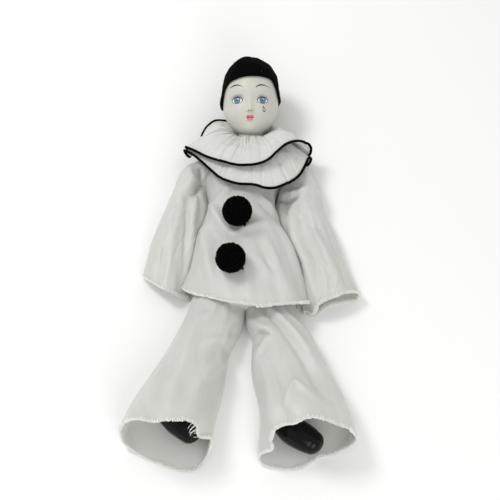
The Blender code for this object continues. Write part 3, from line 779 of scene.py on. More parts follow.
# %% One layer of ruffle
def ruffle_middle(upper):
    """The middle of a layer's cloth, by row from the neck to the rim, before its gathers."""
    turn = full_turn(RUFFLE_COLUMNS)
    front = np.array((0, -math.cos(RUFFLE_SLANT), math.sin(RUFFLE_SLANT)))
    inner = NECK_CENTRE + NECK_RING * circle(turn, front)
    edge = by_turn(UPPER_RIM if upper else LOWER_RIM, turn)
    away = unit(edge[:, :3] - inner)
    away[:, 2] = 0
    out = np.linspace(0, 1, RUFFLE_ROWS)[:, None] + np.zeros(RUFFLE_COLUMNS)
    aside = np.sin(turn) ** 2
    swell = edge[:, 3] * np.sin(math.pi * out ** (0.8 - 0.25 * aside))
    pleat = PLEAT_HEIGHT * out * np.cos(RUFFLE_PLEATS * turn)
    rise = float(upper) * (1 - out) * (SIDE_RISE * aside - CHIN_DIP * np.maximum(np.cos(turn), 0))
    grid = inner + (edge[:, :3] - inner) * out[..., None] + away * (swell * BULGE_OUT)[..., None]
    frill = FRILL_HEIGHT * np.cos(GATHERS * turn) * np.exp(-out / FRILL_REACH)
    grid[..., 2] += swell + pleat + rise + frill
    return turn, grid


def gathers(turn, grid, count, seed):
    """How far the gathered cloth falls: creases that run from the neck outwards."""
    draw = np.random.default_rng(seed)
    share = np.linspace(0, 1, len(grid))[:, None]
    length = np.linalg.norm(np.roll(grid, -1, 1) - grid, axis=2).sum(axis=1)[:, None]
    height = np.zeros(grid.shape[:2])
    for k in range(count):
        centre = math.tau * (k + draw.uniform(-0.32, 0.32)) / count
        reach, lean = draw.uniform(0.35, 1.3), draw.uniform(-0.1, 0.1)
        depth = draw.uniform(0.35, 1.25)
        off = (turn - centre - lean * share + math.pi) % math.tau - math.pi
        near = bell(off / math.tau * length / (0.65 + 0.5 * share))
        height -= near * depth * (1.5 - 0.8 * share) * np.clip((reach - share) * 4, 0, 1)
    return height


def ruffle(name, upper, seed):
    """A gathered layer as a closed sheet; returns the piece and the line of its cord."""
    turn, middle = ruffle_middle(upper)
    normal = grid_normals(middle)
    normal *= np.sign(normal[..., 2].mean())
    middle = middle + normal * gathers(turn, middle, GATHERS, seed)[..., None]
    between = np.sin(math.pi * np.linspace(0, 1, RUFFLE_ROWS))[:, None]
    soft = crumpled(middle, 1 / SOFT_LENGTH, seed, 2) * SOFT_HEIGHT * between
    middle = middle + normal * soft[..., None]
    middle[..., 2] = np.maximum(middle[..., 2], RUFFLE_LOWEST)
    half = normal * RUFFLE_THICKNESS / 2
    rings = np.concatenate((middle + half, (middle - half)[::-1]))
    piece = shell(name, to_frame(rings), voile, loop=True)
    return piece, middle[-1] + unit(middle[-1] - middle[-2]) * CORD_AHEAD + (0, 0, CORD_UP)


upper_ruffle, upper_rim = ruffle("upper_ruffle_cloth", True, 11)
lower_ruffle, lower_rim = ruffle("lower_ruffle_cloth", False, 12)

# %% [markdown]
# ## Geometry nodes for what repeats
#
# Cords, stitches and yarn are small shapes along a path or over a surface, which is what
# geometry nodes are for. Each tree below is built once with named inputs, run on a line or a
# surface, and its result is kept as a plain mesh, so the finished doll carries no modifiers.


# %% A helper for geometry trees
class Steps:
    """A geometry node tree with named inputs, and short ways to add to it."""

    def __init__(self, name, **inputs):
        self.tree = bpy.data.node_groups.new(name, "GeometryNodeTree")
        face = self.tree.interface
        face.new_socket("Geometry", in_out="INPUT", socket_type="NodeSocketGeometry")
        face.new_socket("Geometry", in_out="OUTPUT", socket_type="NodeSocketGeometry")
        self.names = {}
        for label, value in inputs.items():
            kind = "NodeSocketInt" if isinstance(value, int) else "NodeSocketFloat"
            socket = face.new_socket(label, in_out="INPUT", socket_type=kind)
            socket.default_value = value
            self.names[label] = socket.identifier
        self.given = self.tree.nodes.new("NodeGroupInput").outputs
        self.end = self.tree.nodes.new("NodeGroupOutput")

    def add(self, kind, inputs=(), **settings):
        return add_node(self.tree, kind, dict(inputs), settings).outputs

    def times(self, value, factor):
        return self.add("ShaderNodeMath", {0: value, 1: factor}, operation="MULTIPLY")[0]

    def vector(self, **parts):
        return self.add("ShaderNodeCombineXYZ", parts)[0]

    def route(self):
        """The given line as a curve."""
        return self.add("GeometryNodeMeshToCurve", {"Mesh": self.given["Geometry"]})["Curve"]

    def bent_line(self, resolution, start, middle, end):
        """A short curve with one bend."""
        inputs = {"Resolution": resolution, "Start": start, "Middle": middle, "End": end}
        return self.add("GeometryNodeCurveQuadraticBezier", inputs)[0]

    def sweep(self, line, radius, sides, **more):
        """A tube along a curve, closed at both ends."""
        size = {"Resolution": sides, "Radius": radius}
        ring = self.add("GeometryNodeCurvePrimitiveCircle", size)[0]
        inputs = {"Curve": line, "Profile Curve": ring, "Fill Caps": True, **more}
        return self.add("GeometryNodeCurveToMesh", inputs)[0]

    def scatter(self, points, shape, rotation, smallest, largest, seed):
        """A shape set on every point, turned, and at random sizes."""
        span = {2: smallest, 3: largest, "Seed": seed}
        size = self.add("FunctionNodeRandomValue", span, data_type="FLOAT")[1]
        inputs = {"Points": points, "Instance": shape, "Rotation": rotation, "Scale": size}
        return self.add("GeometryNodeInstanceOnPoints", inputs)[0]

    def finish(self, geometry, look):
        real = self.add("GeometryNodeRealizeInstances", {"Geometry": geometry})[0]
        dressed = self.add("GeometryNodeSetMaterial", {"Geometry": real, "Material": look})[0]
        self.tree.links.new(dressed, self.end.inputs[0])

    def grow(self, name, mesh, look, **values):
        """The plain piece that the tree makes from a mesh."""
        source = bpy.data.objects.new(name + "_source", mesh)
        step = source.modifiers.new("steps", "NODES")
        step.node_group = self.tree
        for label, value in values.items():
            step[self.names[label]] = value
        bpy.context.scene.collection.objects.link(source)
        found = bpy.context.evaluated_depsgraph_get()
        made = bpy.data.meshes.new_from_object(source.evaluated_get(found))
        bpy.data.objects.remove(source)
        made.materials.clear()
        return finished(name, made, look)


# %% Lines for the trees to work on
def line_mesh(name, points, closed, **directions):
    """A line of points as a mesh of edges, with a direction at each point if asked."""
    count = len(points)
    edges = [(k, (k + 1) % count) for k in range(count if closed else count - 1)]
    mesh = bpy.data.meshes.new(name)
    mesh.from_pydata(np.asarray(points).tolist(), edges, [])
    for label, vectors in directions.items():
        made = mesh.attributes.new(label, "FLOAT_VECTOR", "POINT")
        made.data.foreach_set("vector", vectors.ravel())
    return mesh


# %% A tree that sweeps a cord along a line
cord_steps = Steps("cord along a line", Radius=0.001, Step=0.001, Unevenness=0.1, Grain=400.0)
given = cord_steps.given
even = cord_steps.add(
    "GeometryNodeResampleCurve",
    {"Curve": cord_steps.route(), "Length": given["Step"]}, mode="LENGTH",
)
fuzz = cord_steps.add("ShaderNodeTexNoise", {"Scale": given["Grain"], "Detail": 1.0})
uneven = {0: fuzz[0], 1: given["Unevenness"], 2: 1.0}
ease = cord_steps.add("ShaderNodeMath", uneven, operation="MULTIPLY_ADD")
cord_steps.finish(cord_steps.sweep(even[0], given["Radius"], 10, Scale=ease[0]), wool)
print("cord tree inputs:", list(cord_steps.names))


def cord(name, points, look, radius, step, unevenness, grain, closed=False):
    """A cord along points in the frame; its radius and step are in plan millimetres."""
    mesh = line_mesh(name, points, closed)
    size = {"Radius": radius * METRES, "Step": step * METRES}
    return cord_steps.grow(name, mesh, look, Unevenness=unevenness, Grain=grain, **size)


# %% [markdown]
# ## Piping
#
# A black woollen cord is sewn over each rim. It is one closed sweep along the rim's line. A
# little noise in its thickness keeps it from looking like wire.

# %% Piping round both rims
PIPING = {"radius": 1.15, "step": 0.9, "unevenness": 0.25, "grain": 500.0}
upper_piping = cord("upper_piping_cord", to_frame(upper_rim), wool, closed=True, **PIPING)
lower_piping = cord("lower_piping_cord", to_frame(lower_rim), wool, closed=True, **PIPING)

# %% [markdown]
# ## Overlocked hems
#
# The raw edges of the tunic, the sleeves and the legs are closed by an overlock machine,
# whose thread loops round the edge and makes it bumpy. Each stitch is one short bent thread,
# and a tree sets hundreds of them along the hem, turned to face out of the cloth. The hem of
# the right leg has frayed beside its notch, and a few loose threads hang there.

# %% A tree that sets stitches along a hem
stitch_steps = Steps("stitches along a hem", Pitch=0.0017, Reach=0.0024, Depth=0.0014, Thread=0.0003)
given = stitch_steps.given
spots = stitch_steps.add(
    "GeometryNodeCurveToPoints",
    {"Curve": stitch_steps.route(), "Length": given["Pitch"]}, mode="LENGTH",
)
outward = stitch_steps.add(
    "GeometryNodeInputNamedAttribute", {"Name": "out"}, data_type="FLOAT_VECTOR"
)
facing = stitch_steps.add(
    "FunctionNodeAxesToRotation",
    {"Primary Axis": outward[0], "Secondary Axis": spots["Tangent"]},
    primary_axis="Z", secondary_axis="X",
)
slant = stitch_steps.times(given["Pitch"], 0.45)
back = stitch_steps.times(given["Reach"], -1.0)
start = stitch_steps.vector(X=stitch_steps.times(slant, -1.0), Y=given["Depth"], Z=back)
middle = stitch_steps.vector(Z=stitch_steps.times(given["Reach"], 1.9))
end = stitch_steps.vector(X=slant, Y=stitch_steps.times(given["Depth"], -1.0), Z=back)
stitch = stitch_steps.sweep(stitch_steps.bent_line(8, start, middle, end), given["Thread"], 6)
placed = stitch_steps.scatter(spots["Points"], stitch, facing[0], 0.7, 1.3, 5)
stitch_steps.finish(placed, thread_white)
print("stitch tree inputs:", list(stitch_steps.names))

# %% Overlocking round each hem
STITCH = {"Pitch": 2.2, "Reach": 1.6, "Depth": 1.2, "Thread": 0.62}
STITCH_AHEAD, STITCH_LOWEST = 0.3, 1.3
OVERLOCKED = {
    "tunic_overlock": "tunic_body", "right_sleeve_overlock": "right_sleeve",
    "left_sleeve_overlock": "left_sleeve", "right_leg_overlock": "right_trouser_leg",
    "left_leg_overlock": "left_trouser_leg",
}


def overlock(name, grid):
    """Stitches round the hem of a garment's grid."""
    out = unit(grid[-1] - grid[-3])
    inward = -grid_normals(grid)[-1]
    edge = grid[-1] + inward * HEM_THICKNESS / 2 + out * STITCH_AHEAD
    edge[:, 2] = np.maximum(edge[:, 2], STITCH_LOWEST)
    mesh = line_mesh(name, to_frame(edge), True, out=out)
    size = {label: value * METRES for label, value in STITCH.items()}
    return stitch_steps.grow(name, mesh, thread_white, **size)


hem_stitches = [overlock(name, grids[cloth]) for name, cloth in OVERLOCKED.items()]

# %% Loose threads at one cuff
# Where the hem of the right leg has frayed, on the plan
FRAYED_AT = (-46, -203, 51)
LOOSE_THREADS = 11


def loose_thread(draw):
    """One thread that hangs from the frayed place, down into the cuff."""
    hem = grids["right_trouser_leg"][-1]
    nearest = int(np.argmin(np.linalg.norm(hem - FRAYED_AT, axis=1)))
    start = hem[(nearest + draw.integers(-5, 6)) % len(hem)]
    end = start + draw.uniform((-7.5, -5.5, -7), (-2.5, 0.5, -1))
    bend = (start + end) / 2 + draw.uniform(-1.8, 1.8, 3)
    line = to_frame(curve_through((start, bend, end), 14))
    return cord("thread", line, thread_white, 0.2, 0.4, 0.4, 900.0)


fray_draw = np.random.default_rng(17)
frayed = [loose_thread(fray_draw) for _ in range(LOOSE_THREADS)]
hem_stitches.append(joined("right_leg_loose_threads", frayed, thread_white))

# %% [markdown]
# ## The head
#
# The head is a slip casting in bisque: an egg with a full jaw, a small nose, soft sockets
# and lips. Its surface is a distance from the centre in every direction. The features are
# smooth bumps added to it, each with a place, a width and a height. The columns of the mesh
# are closer together at the face, where the detail is.

# %% The shape of the head
HEAD_CENTRE = np.array((0.5, 165.0, 36.2))
HEAD_TILT = math.radians(26)
HEAD_HALF = np.array((27.6, 39.0, 31.0))
FACE_LIFT = 1.3
JAW_FULLNESS, NAPE_HOLLOW, CHIN_DROP = 0.04, 4.0, 19
# Centre x, y, half width, half height, and how far it stands out
FEATURES = (
    # The nose: its tip, back and bridge, then its wings and its nostrils
    (-0.6, -16.2, 2.8, 2.6, 3.1), (-0.6, -12.5, 2.6, 5.0, 1.4), (-0.6, -6.0, 3.2, 7.0, 0.9),
    (-3.0, -17.6, 1.5, 1.4, 1.5), (1.8, -17.6, 1.5, 1.4, 1.5),
    (-1.7, -18.6, 0.8, 0.6, -0.7), (0.6, -18.6, 0.8, 0.6, -0.7),
    # The sockets, the eyeballs in them, the brows and the cheeks
    (-12.9, -7.4, 7.0, 4.8, -2.6), (11.7, -7.4, 7.0, 4.8, -2.6),
    (-12.9, -7.8, 4.6, 3.0, 1.5), (11.7, -7.8, 4.6, 3.0, 1.5),
    (-13.2, 2.0, 8.0, 3.0, 0.8), (12.0, 2.0, 8.0, 3.0, 0.8),
    (-15.0, -19.0, 8.0, 7.0, 1.7), (14.0, -17.5, 8.0, 6.5, 0.8),
    # The mouth: its mound and the upper lip's peaks, the lower lip, the gap, the dip below
    (-0.6, -23.4, 5.0, 3.4, 0.9), (-2.3, -23.6, 1.7, 0.9, 0.8), (1.1, -23.6, 1.7, 0.9, 0.8),
    (-0.6, -26.3, 2.6, 1.1, 1.3), (-0.6, -24.9, 3.6, 0.4, -0.7), (-0.6, -28.9, 3.4, 1.1, -0.9),
    # The groove over the lip, the chin and the forehead
    (-0.6, -20.9, 0.8, 1.6, -0.4), (-0.3, -34.0, 6.5, 4.6, 2.6), (0, 12, 16, 10, 1.0),
)
LID_HALF = 5.3


def head_radius(way):
    """From the head's centre to the bisque, in plan millimetres, along unit directions."""
    x, y, z = way[..., 0], way[..., 1], way[..., 2]
    low = np.maximum(0, -y)
    wide, tall, deep = HEAD_HALF
    reach = 1 / np.sqrt((x / wide) ** 2 + (y / (tall + CHIN_DROP * low * z)) ** 2 + (z / deep) ** 2)
    front_jaw = np.maximum(0, 1 - NAPE_HOLLOW * np.maximum(0, -z))
    jaw = front_jaw * (2 * x * low) ** 2 / np.maximum(x**2 + low**2, 1e-9)
    reach = reach * (1 + JAW_FULLNESS * jaw)
    flat_x, flat_y = x * reach, y * reach
    for centre_x, centre_y, width, height, out in FEATURES:
        off = ((flat_x - centre_x) / width) ** 2 + ((flat_y - FACE_LIFT - centre_y) / height) ** 2
        reach = reach + out * np.exp(-off) * np.clip(z * 2, 0, 1)
    return reach


head_turn = np.array(Matrix.Rotation(HEAD_TILT, 3, "X"))


def head_place(own):
    """Points from the head's own millimetres, crown up Y and face to Z, to the plan."""
    return own @ head_turn.T + HEAD_CENTRE


def head_surface(turns, polar, extra=0.0):
    """Points over the head: turns from the face, polar angles from the crown."""
    way = np.stack((np.sin(turns) * np.sin(polar), np.cos(polar), np.cos(turns) * np.sin(polar)), -1)
    return head_place(way * (head_radius(way) + extra)[..., None])


def face_turns(count, density=0.55):
    """Turns round the head, closer together at the face."""
    even = full_turn(count)
    return even - density * np.sin(even)


def face_rows(count, density=0.35):
    """Polar angles, closer together between the brow and the chin."""
    even = np.linspace(0, 1, count + 2)[1:-1]
    return math.pi * (even + density * np.sin(math.tau * (even - 0.12)) / math.tau)


HEAD_COLUMNS, HEAD_ROWS = 220, 150
turns, rows = np.meshgrid(face_turns(HEAD_COLUMNS), face_rows(HEAD_ROWS))
head = shell("bisque_head", to_frame(head_surface(turns, rows)), satin)
print("head", [round(v * 1000, 1) for v in head.dimensions], "mm")

# %% The neck
NECK_TILT = math.radians(20)
NECK_RADIUS, NECK_LOW, NECK_HIGH, NECK_WAIST = 13.0, -12, 27, 0.05


def neck_rings():
    """A round stem with a slight waist. Its axis lies flatter than the head's."""
    axis = np.array((0, math.cos(NECK_TILT), math.sin(NECK_TILT)))
    round_it = circle(full_turn(72), np.cross(ACROSS, axis))
    rings = []
    for reach in np.linspace(NECK_LOW, NECK_HIGH, 24):
        share = (reach - NECK_LOW) / (NECK_HIGH - NECK_LOW)
        radius = NECK_RADIUS * (1 - NECK_WAIST * math.sin(math.pi * share))
        rings.append(NECK_CENTRE + axis * reach + radius * round_it)
    return rings


neck = shell("bisque_neck", to_frame(neck_rings()), satin)

# %% [markdown]
# ## Bisque and its painting
#
# Bisque is unglazed porcelain, so it is smooth but hardly shines. The eyes and the mouth are
# painted on it. A Mapping node takes object coordinates into the head's own frame, in
# millimetres, and each painted shape is a mask there: an ellipse, or the lens between two
# arcs for an eye. A mask ends where the face turns away, so nothing shows on the back.

# %% Masks in the head's own frame
bisque = Finish("pale bisque", (0.70, 0.685, 0.65), 0.42, {
    "Subsurface Weight": 0.08, "Subsurface Radius": (0.006, 0.004, 0.003),
    "Subsurface Scale": 0.3, "Specular IOR Level": 0.35,
})
own = bisque.node("ShaderNodeMapping", {
    "Vector": bisque.node("ShaderNodeTexCoord").outputs["Object"],
    "Location": tuple(to_frame(HEAD_CENTRE + head_turn @ (0, FACE_LIFT, 0))),
    "Rotation": (HEAD_TILT, 0, 0), "Scale": (METRES, METRES, METRES),
}, vector_type="TEXTURE").outputs[0]
axes = bisque.node("ShaderNodeSeparateXYZ", {"Vector": own}).outputs
on_face = bisque.span(axes["Z"], 8.0, 14.0)


def away_from(x, y, wide=1.0, tall=1.0):
    """The distance on the face from a place, in shares of an ellipse's two halves."""
    squares = []
    for axis, centre, half in (("X", x, wide), ("Y", y, tall)):
        step = bisque.math("MULTIPLY", bisque.math("SUBTRACT", axes[axis], centre), 1 / half)
        squares.append(bisque.math("MULTIPLY", step, step))
    return bisque.math("SQRT", bisque.math("ADD", *squares))


def spot(x, y, wide, tall, soft):
    """A mask, 1 in an ellipse on the face and 0 outside it."""
    inside = bisque.span(away_from(x, y, wide, tall), 1 - soft, 1 + soft, 1.0, 0.0)
    return bisque.math("MULTIPLY", inside, on_face)


def lid_circle(y, half, high):
    """The radius and the centre's y of a lid's arc; high is below 0 for the lower lid."""
    radius = (half**2 + high**2) / (2 * abs(high))
    return radius, y + high - math.copysign(radius, high)


def arc_depth(x, y, high):
    """How far a place lies inside the arc of a lid."""
    radius, centre = lid_circle(y, LID_HALF, high)
    return bisque.math("SUBTRACT", radius, away_from(x, centre))


# %% Eyes, lips and shading
# The middle x and y of the lids, and the x of the iris, at the doll's right and left eye
EYES = ((-12.9, -8.3, -13.0), (11.75, -8.3, 11.8))
LID_UP, LID_LOW = 3.75, -2.75
IRIS_LIFT, IRIS_RADIUS, PUPIL_RADIUS = 0.45, 3.15, 1.2
BLUE_PALE, BLUE, BLUE_RIM = (0.17, 0.34, 0.46), (0.065, 0.19, 0.30), (0.015, 0.05, 0.09)
PORCELAIN, PORCELAIN_GREY = (0.585, 0.572, 0.518), (0.53, 0.515, 0.47)
# The lips' colours; the palest is a painted highlight on the lower lip
CORAL, CORAL_DARK, LIP_PAINTED_HIGHLIGHT = (0.60, 0.13, 0.12), (0.38, 0.07, 0.06), (0.80, 0.34, 0.30)
# Painted shadows, in the eye sockets and on the eyeballs under the upper lids, then the nostrils'
# colour
PAINTED_SOCKET_SHADOW, PAINTED_LID_SHADOW, NOSTRIL = (0.50, 0.50, 0.475), (0.10, 0.13, 0.17), (0.10, 0.08, 0.08)
EYE_WHITE, PUPIL, GLINT = (0.86, 0.87, 0.87), (0.01, 0.02, 0.035), (0.95, 0.97, 0.98)
# Middle x and y, halves and softness: two peaks, the lower lip, and the line to the corners
LIPS = (
    (-2.25, -24.2, 1.9, 1.5, 0.12), (1.05, -24.2, 1.9, 1.5, 0.12),
    (-0.6, -26.0, 3.0, 1.65, 0.1), (-0.6, -24.85, 4.1, 0.75, 0.2),
)


def painted_ball(from_iris, glint, lid_shadow_share):
    """The eyeball's colour: white, a blue iris with a dark rim, a pupil, a highlight, and a painted
    shadow under the upper lid.
    """
    edge = 0.12
    blue = bisque.mix(bisque.span(from_iris, 1.3, 2.5), BLUE_PALE, BLUE)
    blue = bisque.mix(bisque.span(from_iris, 2.5, 3.0), blue, BLUE_RIM)
    outside = bisque.span(from_iris, IRIS_RADIUS - edge, IRIS_RADIUS + edge)
    pupil = bisque.span(from_iris, PUPIL_RADIUS - edge, PUPIL_RADIUS + edge, 1.0, 0.0)
    ball = bisque.mix(pupil, bisque.mix(outside, blue, EYE_WHITE), PUPIL)
    return bisque.mix(lid_shadow_share, bisque.mix(glint, ball, GLINT), PAINTED_LID_SHADOW)


cloudy = bisque.span(bisque.speckle(60.0, Detail=3.0), 0.35, 0.7, 0.0, 0.35)
paint = bisque.mix(cloudy, PORCELAIN, PORCELAIN_GREY)
for lid_x, lid_y, iris_x in EYES:
    # A painted shadow in each eye socket, above the eye
    socket = bisque.math("MULTIPLY", spot(lid_x, lid_y + 5.0, 9.5, 6.5, 0.8), 0.30)
    paint = bisque.mix(socket, paint, PAINTED_SOCKET_SHADOW)
for lid_x, lid_y, iris_x in EYES:
    upper = arc_depth(lid_x, lid_y, LID_UP)
    lower = arc_depth(lid_x, lid_y, LID_LOW)
    opening = bisque.span(bisque.math("MINIMUM", upper, lower), -0.1, 0.12)
    iris_y = lid_y + IRIS_LIFT
    glint = bisque.span(away_from(iris_x + 0.7, iris_y + 0.9), 0.45, 0.62, 1.0, 0.0)
    # The top of the eyeball is darkened under the upper lid: a painted shadow
    lid_shadow_share = bisque.span(upper, 0.3, 1.5, 0.55, 0.0)
    ball = painted_ball(away_from(iris_x, iris_y), glint, lid_shadow_share)
    paint = bisque.mix(bisque.math("MULTIPLY", opening, on_face), paint, ball)
lips = spot(*LIPS[0])
for shape in LIPS[1:]:
    lips = bisque.math("MAXIMUM", lips, spot(*shape))
# A painted highlight in the middle of the lower lip
coral = bisque.mix(spot(-0.5, -26.3, 1.5, 0.7, 0.6), CORAL, LIP_PAINTED_HIGHLIGHT)
coral = bisque.mix(spot(-0.6, -24.95, 3.6, 0.28, 0.6), coral, CORAL_DARK)
paint = bisque.mix(lips, paint, coral)
for nostril_x in (-1.75, 0.65):
    paint = bisque.mix(spot(nostril_x, -18.7, 1.05, 0.42, 0.5), paint, NOSTRIL)
bisque.join(paint, "Base Color")
bisque.bump(bisque.speckle(1800.0, Detail=2.0), 0.12, 0.0001)
bisque.join(bisque.span(lips, 0.0, 1.0, 0.44, 0.28), "Roughness")
# The head and the neck were made before their finish was, so it takes the first one's place
for piece in (head, neck):
    piece.data.materials[0] = bisque.material
print(len(bisque.tree.nodes), "nodes paint the face")

# %% [markdown]
# ## Fine brush lines
#
# The brows, the lids, the lashes and the tear are single strokes of a fine brush. China
# paint stands very slightly proud, so each stroke is a flat sliver laid on the bisque,
# widest in the middle and pointed at the end. It stays sharp however near the camera is.


# %% A brush stroke on the face
STROKE_LIFT, STROKE_SINK = 0.09, -0.12
STROKE_POINTS = 28
# A first guess at how far the face is in front of the head's centre
FACE_DEPTH = 26.0


def on_bisque(points):
    """Places on the bisque, from x and y in the head's own frame, found step by step."""
    points = np.asarray(points, float) + (0, FACE_LIFT)
    tall = np.full(len(points), FACE_DEPTH)
    for _ in range(12):
        way = unit(np.column_stack((points, tall)))
        reach = head_radius(way)
        tall = np.sqrt(np.maximum(reach**2 - (points**2).sum(axis=1), 1.0))
    return np.column_stack((points[:, 0], points[:, 1], tall))


def brush_stroke(points, width, closed=False):
    """Rings of one stroke along a line: a flat diamond across it, thinner at its ends."""
    line = curve_through(points, STROKE_POINTS, closed)
    middle = on_bisque(line)
    step = 0.25
    right = on_bisque(line + (step, 0)) - on_bisque(line - (step, 0))
    up = on_bisque(line + (0, step)) - on_bisque(line - (0, step))
    normal = unit(np.cross(right, up))
    if closed:
        ahead = unit(np.roll(middle, -1, 0) - np.roll(middle, 1, 0))
        full = np.ones(len(line))
    else:
        ahead = unit(np.gradient(middle, axis=0))
        full = np.interp(np.linspace(0, 1, len(line)), (0, 0.35, 1), width[1:])
    side = np.cross(normal, ahead) * (width[0] / 2 * full)[:, None]
    corners = (side, normal * STROKE_LIFT, -side, normal * STROKE_SINK)
    return head_place(np.stack([middle + corner for corner in corners], 1))


def arc_points(x, y, half, high, count=9, low=-1.0, top=1.0):
    """Points along the arc of a lid, from its outer to its inner corner."""
    radius, centre = lid_circle(y, half, high)
    across = np.linspace(low * half, top * half, count)
    return [(x + a, centre + math.copysign(math.sqrt(radius**2 - a * a), high)) for a in across]


def lash(foot, long, lean, bow, way):
    """A lash's line from its foot at a lid: way 1 goes up, -1 down."""
    points = [foot]
    for share, angle in ((0.5, lean * bow), (1, lean)):
        across, along = math.sin(angle), math.cos(angle)
        points.append((foot[0] + long * share * across, foot[1] + way * long * share * along))
    return points


# %% Brows, lids, lashes and the tear
# Each stroke: points, then its width and the share of it at the start, widest place and end
BROW = (1.8, 0.3, 1.0, 0.1)
strokes = [
    (((-20.3, 4.6), (-17.5, 6.2), (-13.5, 6.9), (-10, 6.2), (-7.1, 4.6)), BROW),
    (((5.0, 4.3), (8.2, 6.3), (11.6, 6.9), (15.8, 6.2), (19.3, 4.6)), BROW),
]
# Length and width of the upper lashes at the doll's right eye and at its left
LASHES = ((3.3, 0.6), (2.4, 0.42))
for side, (lid_x, lid_y, iris_x), (lash_long, lash_wide) in zip((-1, 1), EYES, LASHES):
    strokes.append((arc_points(lid_x, lid_y, LID_HALF, LID_UP), (1.45, 0.5, 1.0, 0.5)))
    strokes.append((arc_points(lid_x, lid_y, LID_HALF, LID_LOW), (0.7, 0.7, 0.7, 0.7)))
    crease = arc_points(lid_x, lid_y + 1.5, LID_HALF + 0.8, LID_UP + 0.4, 9, -0.85, 0.85)
    strokes.append((crease, (0.26, 0.1, 0.9, 0.1)))
    lash_draw = np.random.default_rng(31 + side)
    for share in np.linspace(-0.92, 0.92, 13):
        foot = arc_points(lid_x, lid_y, LID_HALF, LID_UP, 2, share, share)[0]
        lean = share * 0.85 + lash_draw.uniform(-0.08, 0.08)
        long = lash_long * (0.75 + 0.35 * abs(share)) * lash_draw.uniform(0.85, 1.15)
        strokes.append((lash(foot, long, lean, 0.7, 1), (lash_wide, 1.0, 0.8, 0.1)))
    for share in np.linspace(-0.8, 0.95, 9):
        foot = arc_points(lid_x, lid_y, LID_HALF, LID_LOW, 2, share, share)[0]
        long = 1.25 * lash_draw.uniform(0.8, 1.2)
        strokes.append((lash(foot, long, share * 0.9, 1, -1), (0.18, 1.0, 0.7, 0.1)))
TEAR = (
    (12.4, -13.8), (12.25, -15.6), (12.1, -17.2), (12.6, -18.6),
    (13.7, -18.9), (14.6, -18.0), (14.3, -16.6), (13.2, -15.2),
)
strokes.append((TEAR, (0.7, 1, 1, 1)))
strokes.append((((12.35, -13.2), (12.4, -14.2), (12.55, -15.0)), (0.4, 0.1, 1.0, 0.5)))
strokes.append((((12.9, -18.3), (13.4, -18.6), (14.0, -18.5)), (0.95, 0.5, 1.0, 0.5)))
slivers = []
for k, (line, width) in enumerate(strokes):
    closed = line is TEAR
    rings = to_frame(brush_stroke(line, width, closed))
    slivers.append(shell(f"stroke_{k}", rings, line_paint.material, closed))
face_lines = joined("painted_face_lines", slivers, line_paint.material)

# %% [markdown]
# ## The skull cap
#
# Pierrot's cap is one piece of black velour, stretched over the porcelain and cut in a
# curve over the brow. It follows the head's own surface a little way out. Its edge is read
# from a table of angles round the head and turned over to the inside.

# %% The cap
# By degrees round from the face: the angle from the crown at the right and at the left
CAP_EDGE = (
    (0, 59.5, 59.5), (12, 60, 59), (25, 62, 59), (40, 65, 60), (49, 69, 63), (58, 78, 76),
    (66, 90, 90), (74, 101, 94), (84, 109, 97), (100, 110, 98), (125, 110, 105), (180, 112, 112),
)
CAP_INSIDE, CAP_OUTSIDE = 0.9, 2.7
CAP_COLUMNS, CAP_ROWS = 200, 60
# About how far the cap's edge is from the head's centre
HEAD_REACH = 33


def cap_edge(turns):
    """The polar angle of the cap's edge at turns round from the face, softened a little."""
    degrees, right, left = zip(*CAP_EDGE)
    found = np.zeros(np.shape(turns))
    for step in range(-3, 4):
        at = (np.degrees(turns) + step + 180) % 360 - 180
        sides = [np.interp(abs(at), degrees, side) for side in (left, right)]
        found += np.where(at > 0, *sides) / 7
    return np.radians(found)


def cap_stretch(outside, turn, polar):
    """How far the stretched cloth stands off: a peak, a low top, full sides, thin temples."""
    peak = bell((outside[..., 0] + 5) / 6) * bell(polar / 0.35) * 1.6
    low_top = -1.3 * bell(polar / 0.5)
    full = 0.8 * bell((polar - 0.5) / 0.3) * np.abs(np.sin(turn)) ** 0.5
    thin = -1.7 * bell((polar - 1.35) / 0.33) * np.sin(turn) ** 2
    nap = crumpled(outside, 1 / 7, 21, 3) * 0.55 + crumpled(outside, 1 / 26, 22, 2) * 1.4
    return nap + (peak + low_top + full + thin)


def cap_rings():
    """The cap's outside from the crown down, its rounded edge, and its inside back up."""
    turn = face_turns(CAP_COLUMNS)
    edge = cap_edge(turn)
    share = np.linspace(0.015, 1, CAP_ROWS)[:, None]
    polar = share * edge
    turns = np.broadcast_to(turn, polar.shape)
    middle, half = (CAP_OUTSIDE + CAP_INSIDE) / 2, (CAP_OUTSIDE - CAP_INSIDE) / 2
    outside = head_surface(turns, polar, CAP_OUTSIDE)
    rolled = []
    for angle in np.linspace(0, math.pi, 7)[1:-1]:
        past = edge + math.sin(angle) * half * 1.6 / HEAD_REACH
        rolled.append(head_surface(turn, past, middle + half * math.cos(angle)))
    inside = head_surface(turns, polar, CAP_INSIDE)[::-1]
    fade = np.clip((1 - share) * 8, 0, 1)
    away = unit(outside - HEAD_CENTRE)
    outside = outside + away * (cap_stretch(outside, turn, polar) * fade)[..., None]
    return np.concatenate((outside, np.array(rolled), inside))


cap = shell("velour_cap", to_frame(cap_rings()), velour)

# %% Lint on the velour
LINT_FIBRES, FIBRE_HALF, FIBRE_BEND = 9, 0.02, 0.012


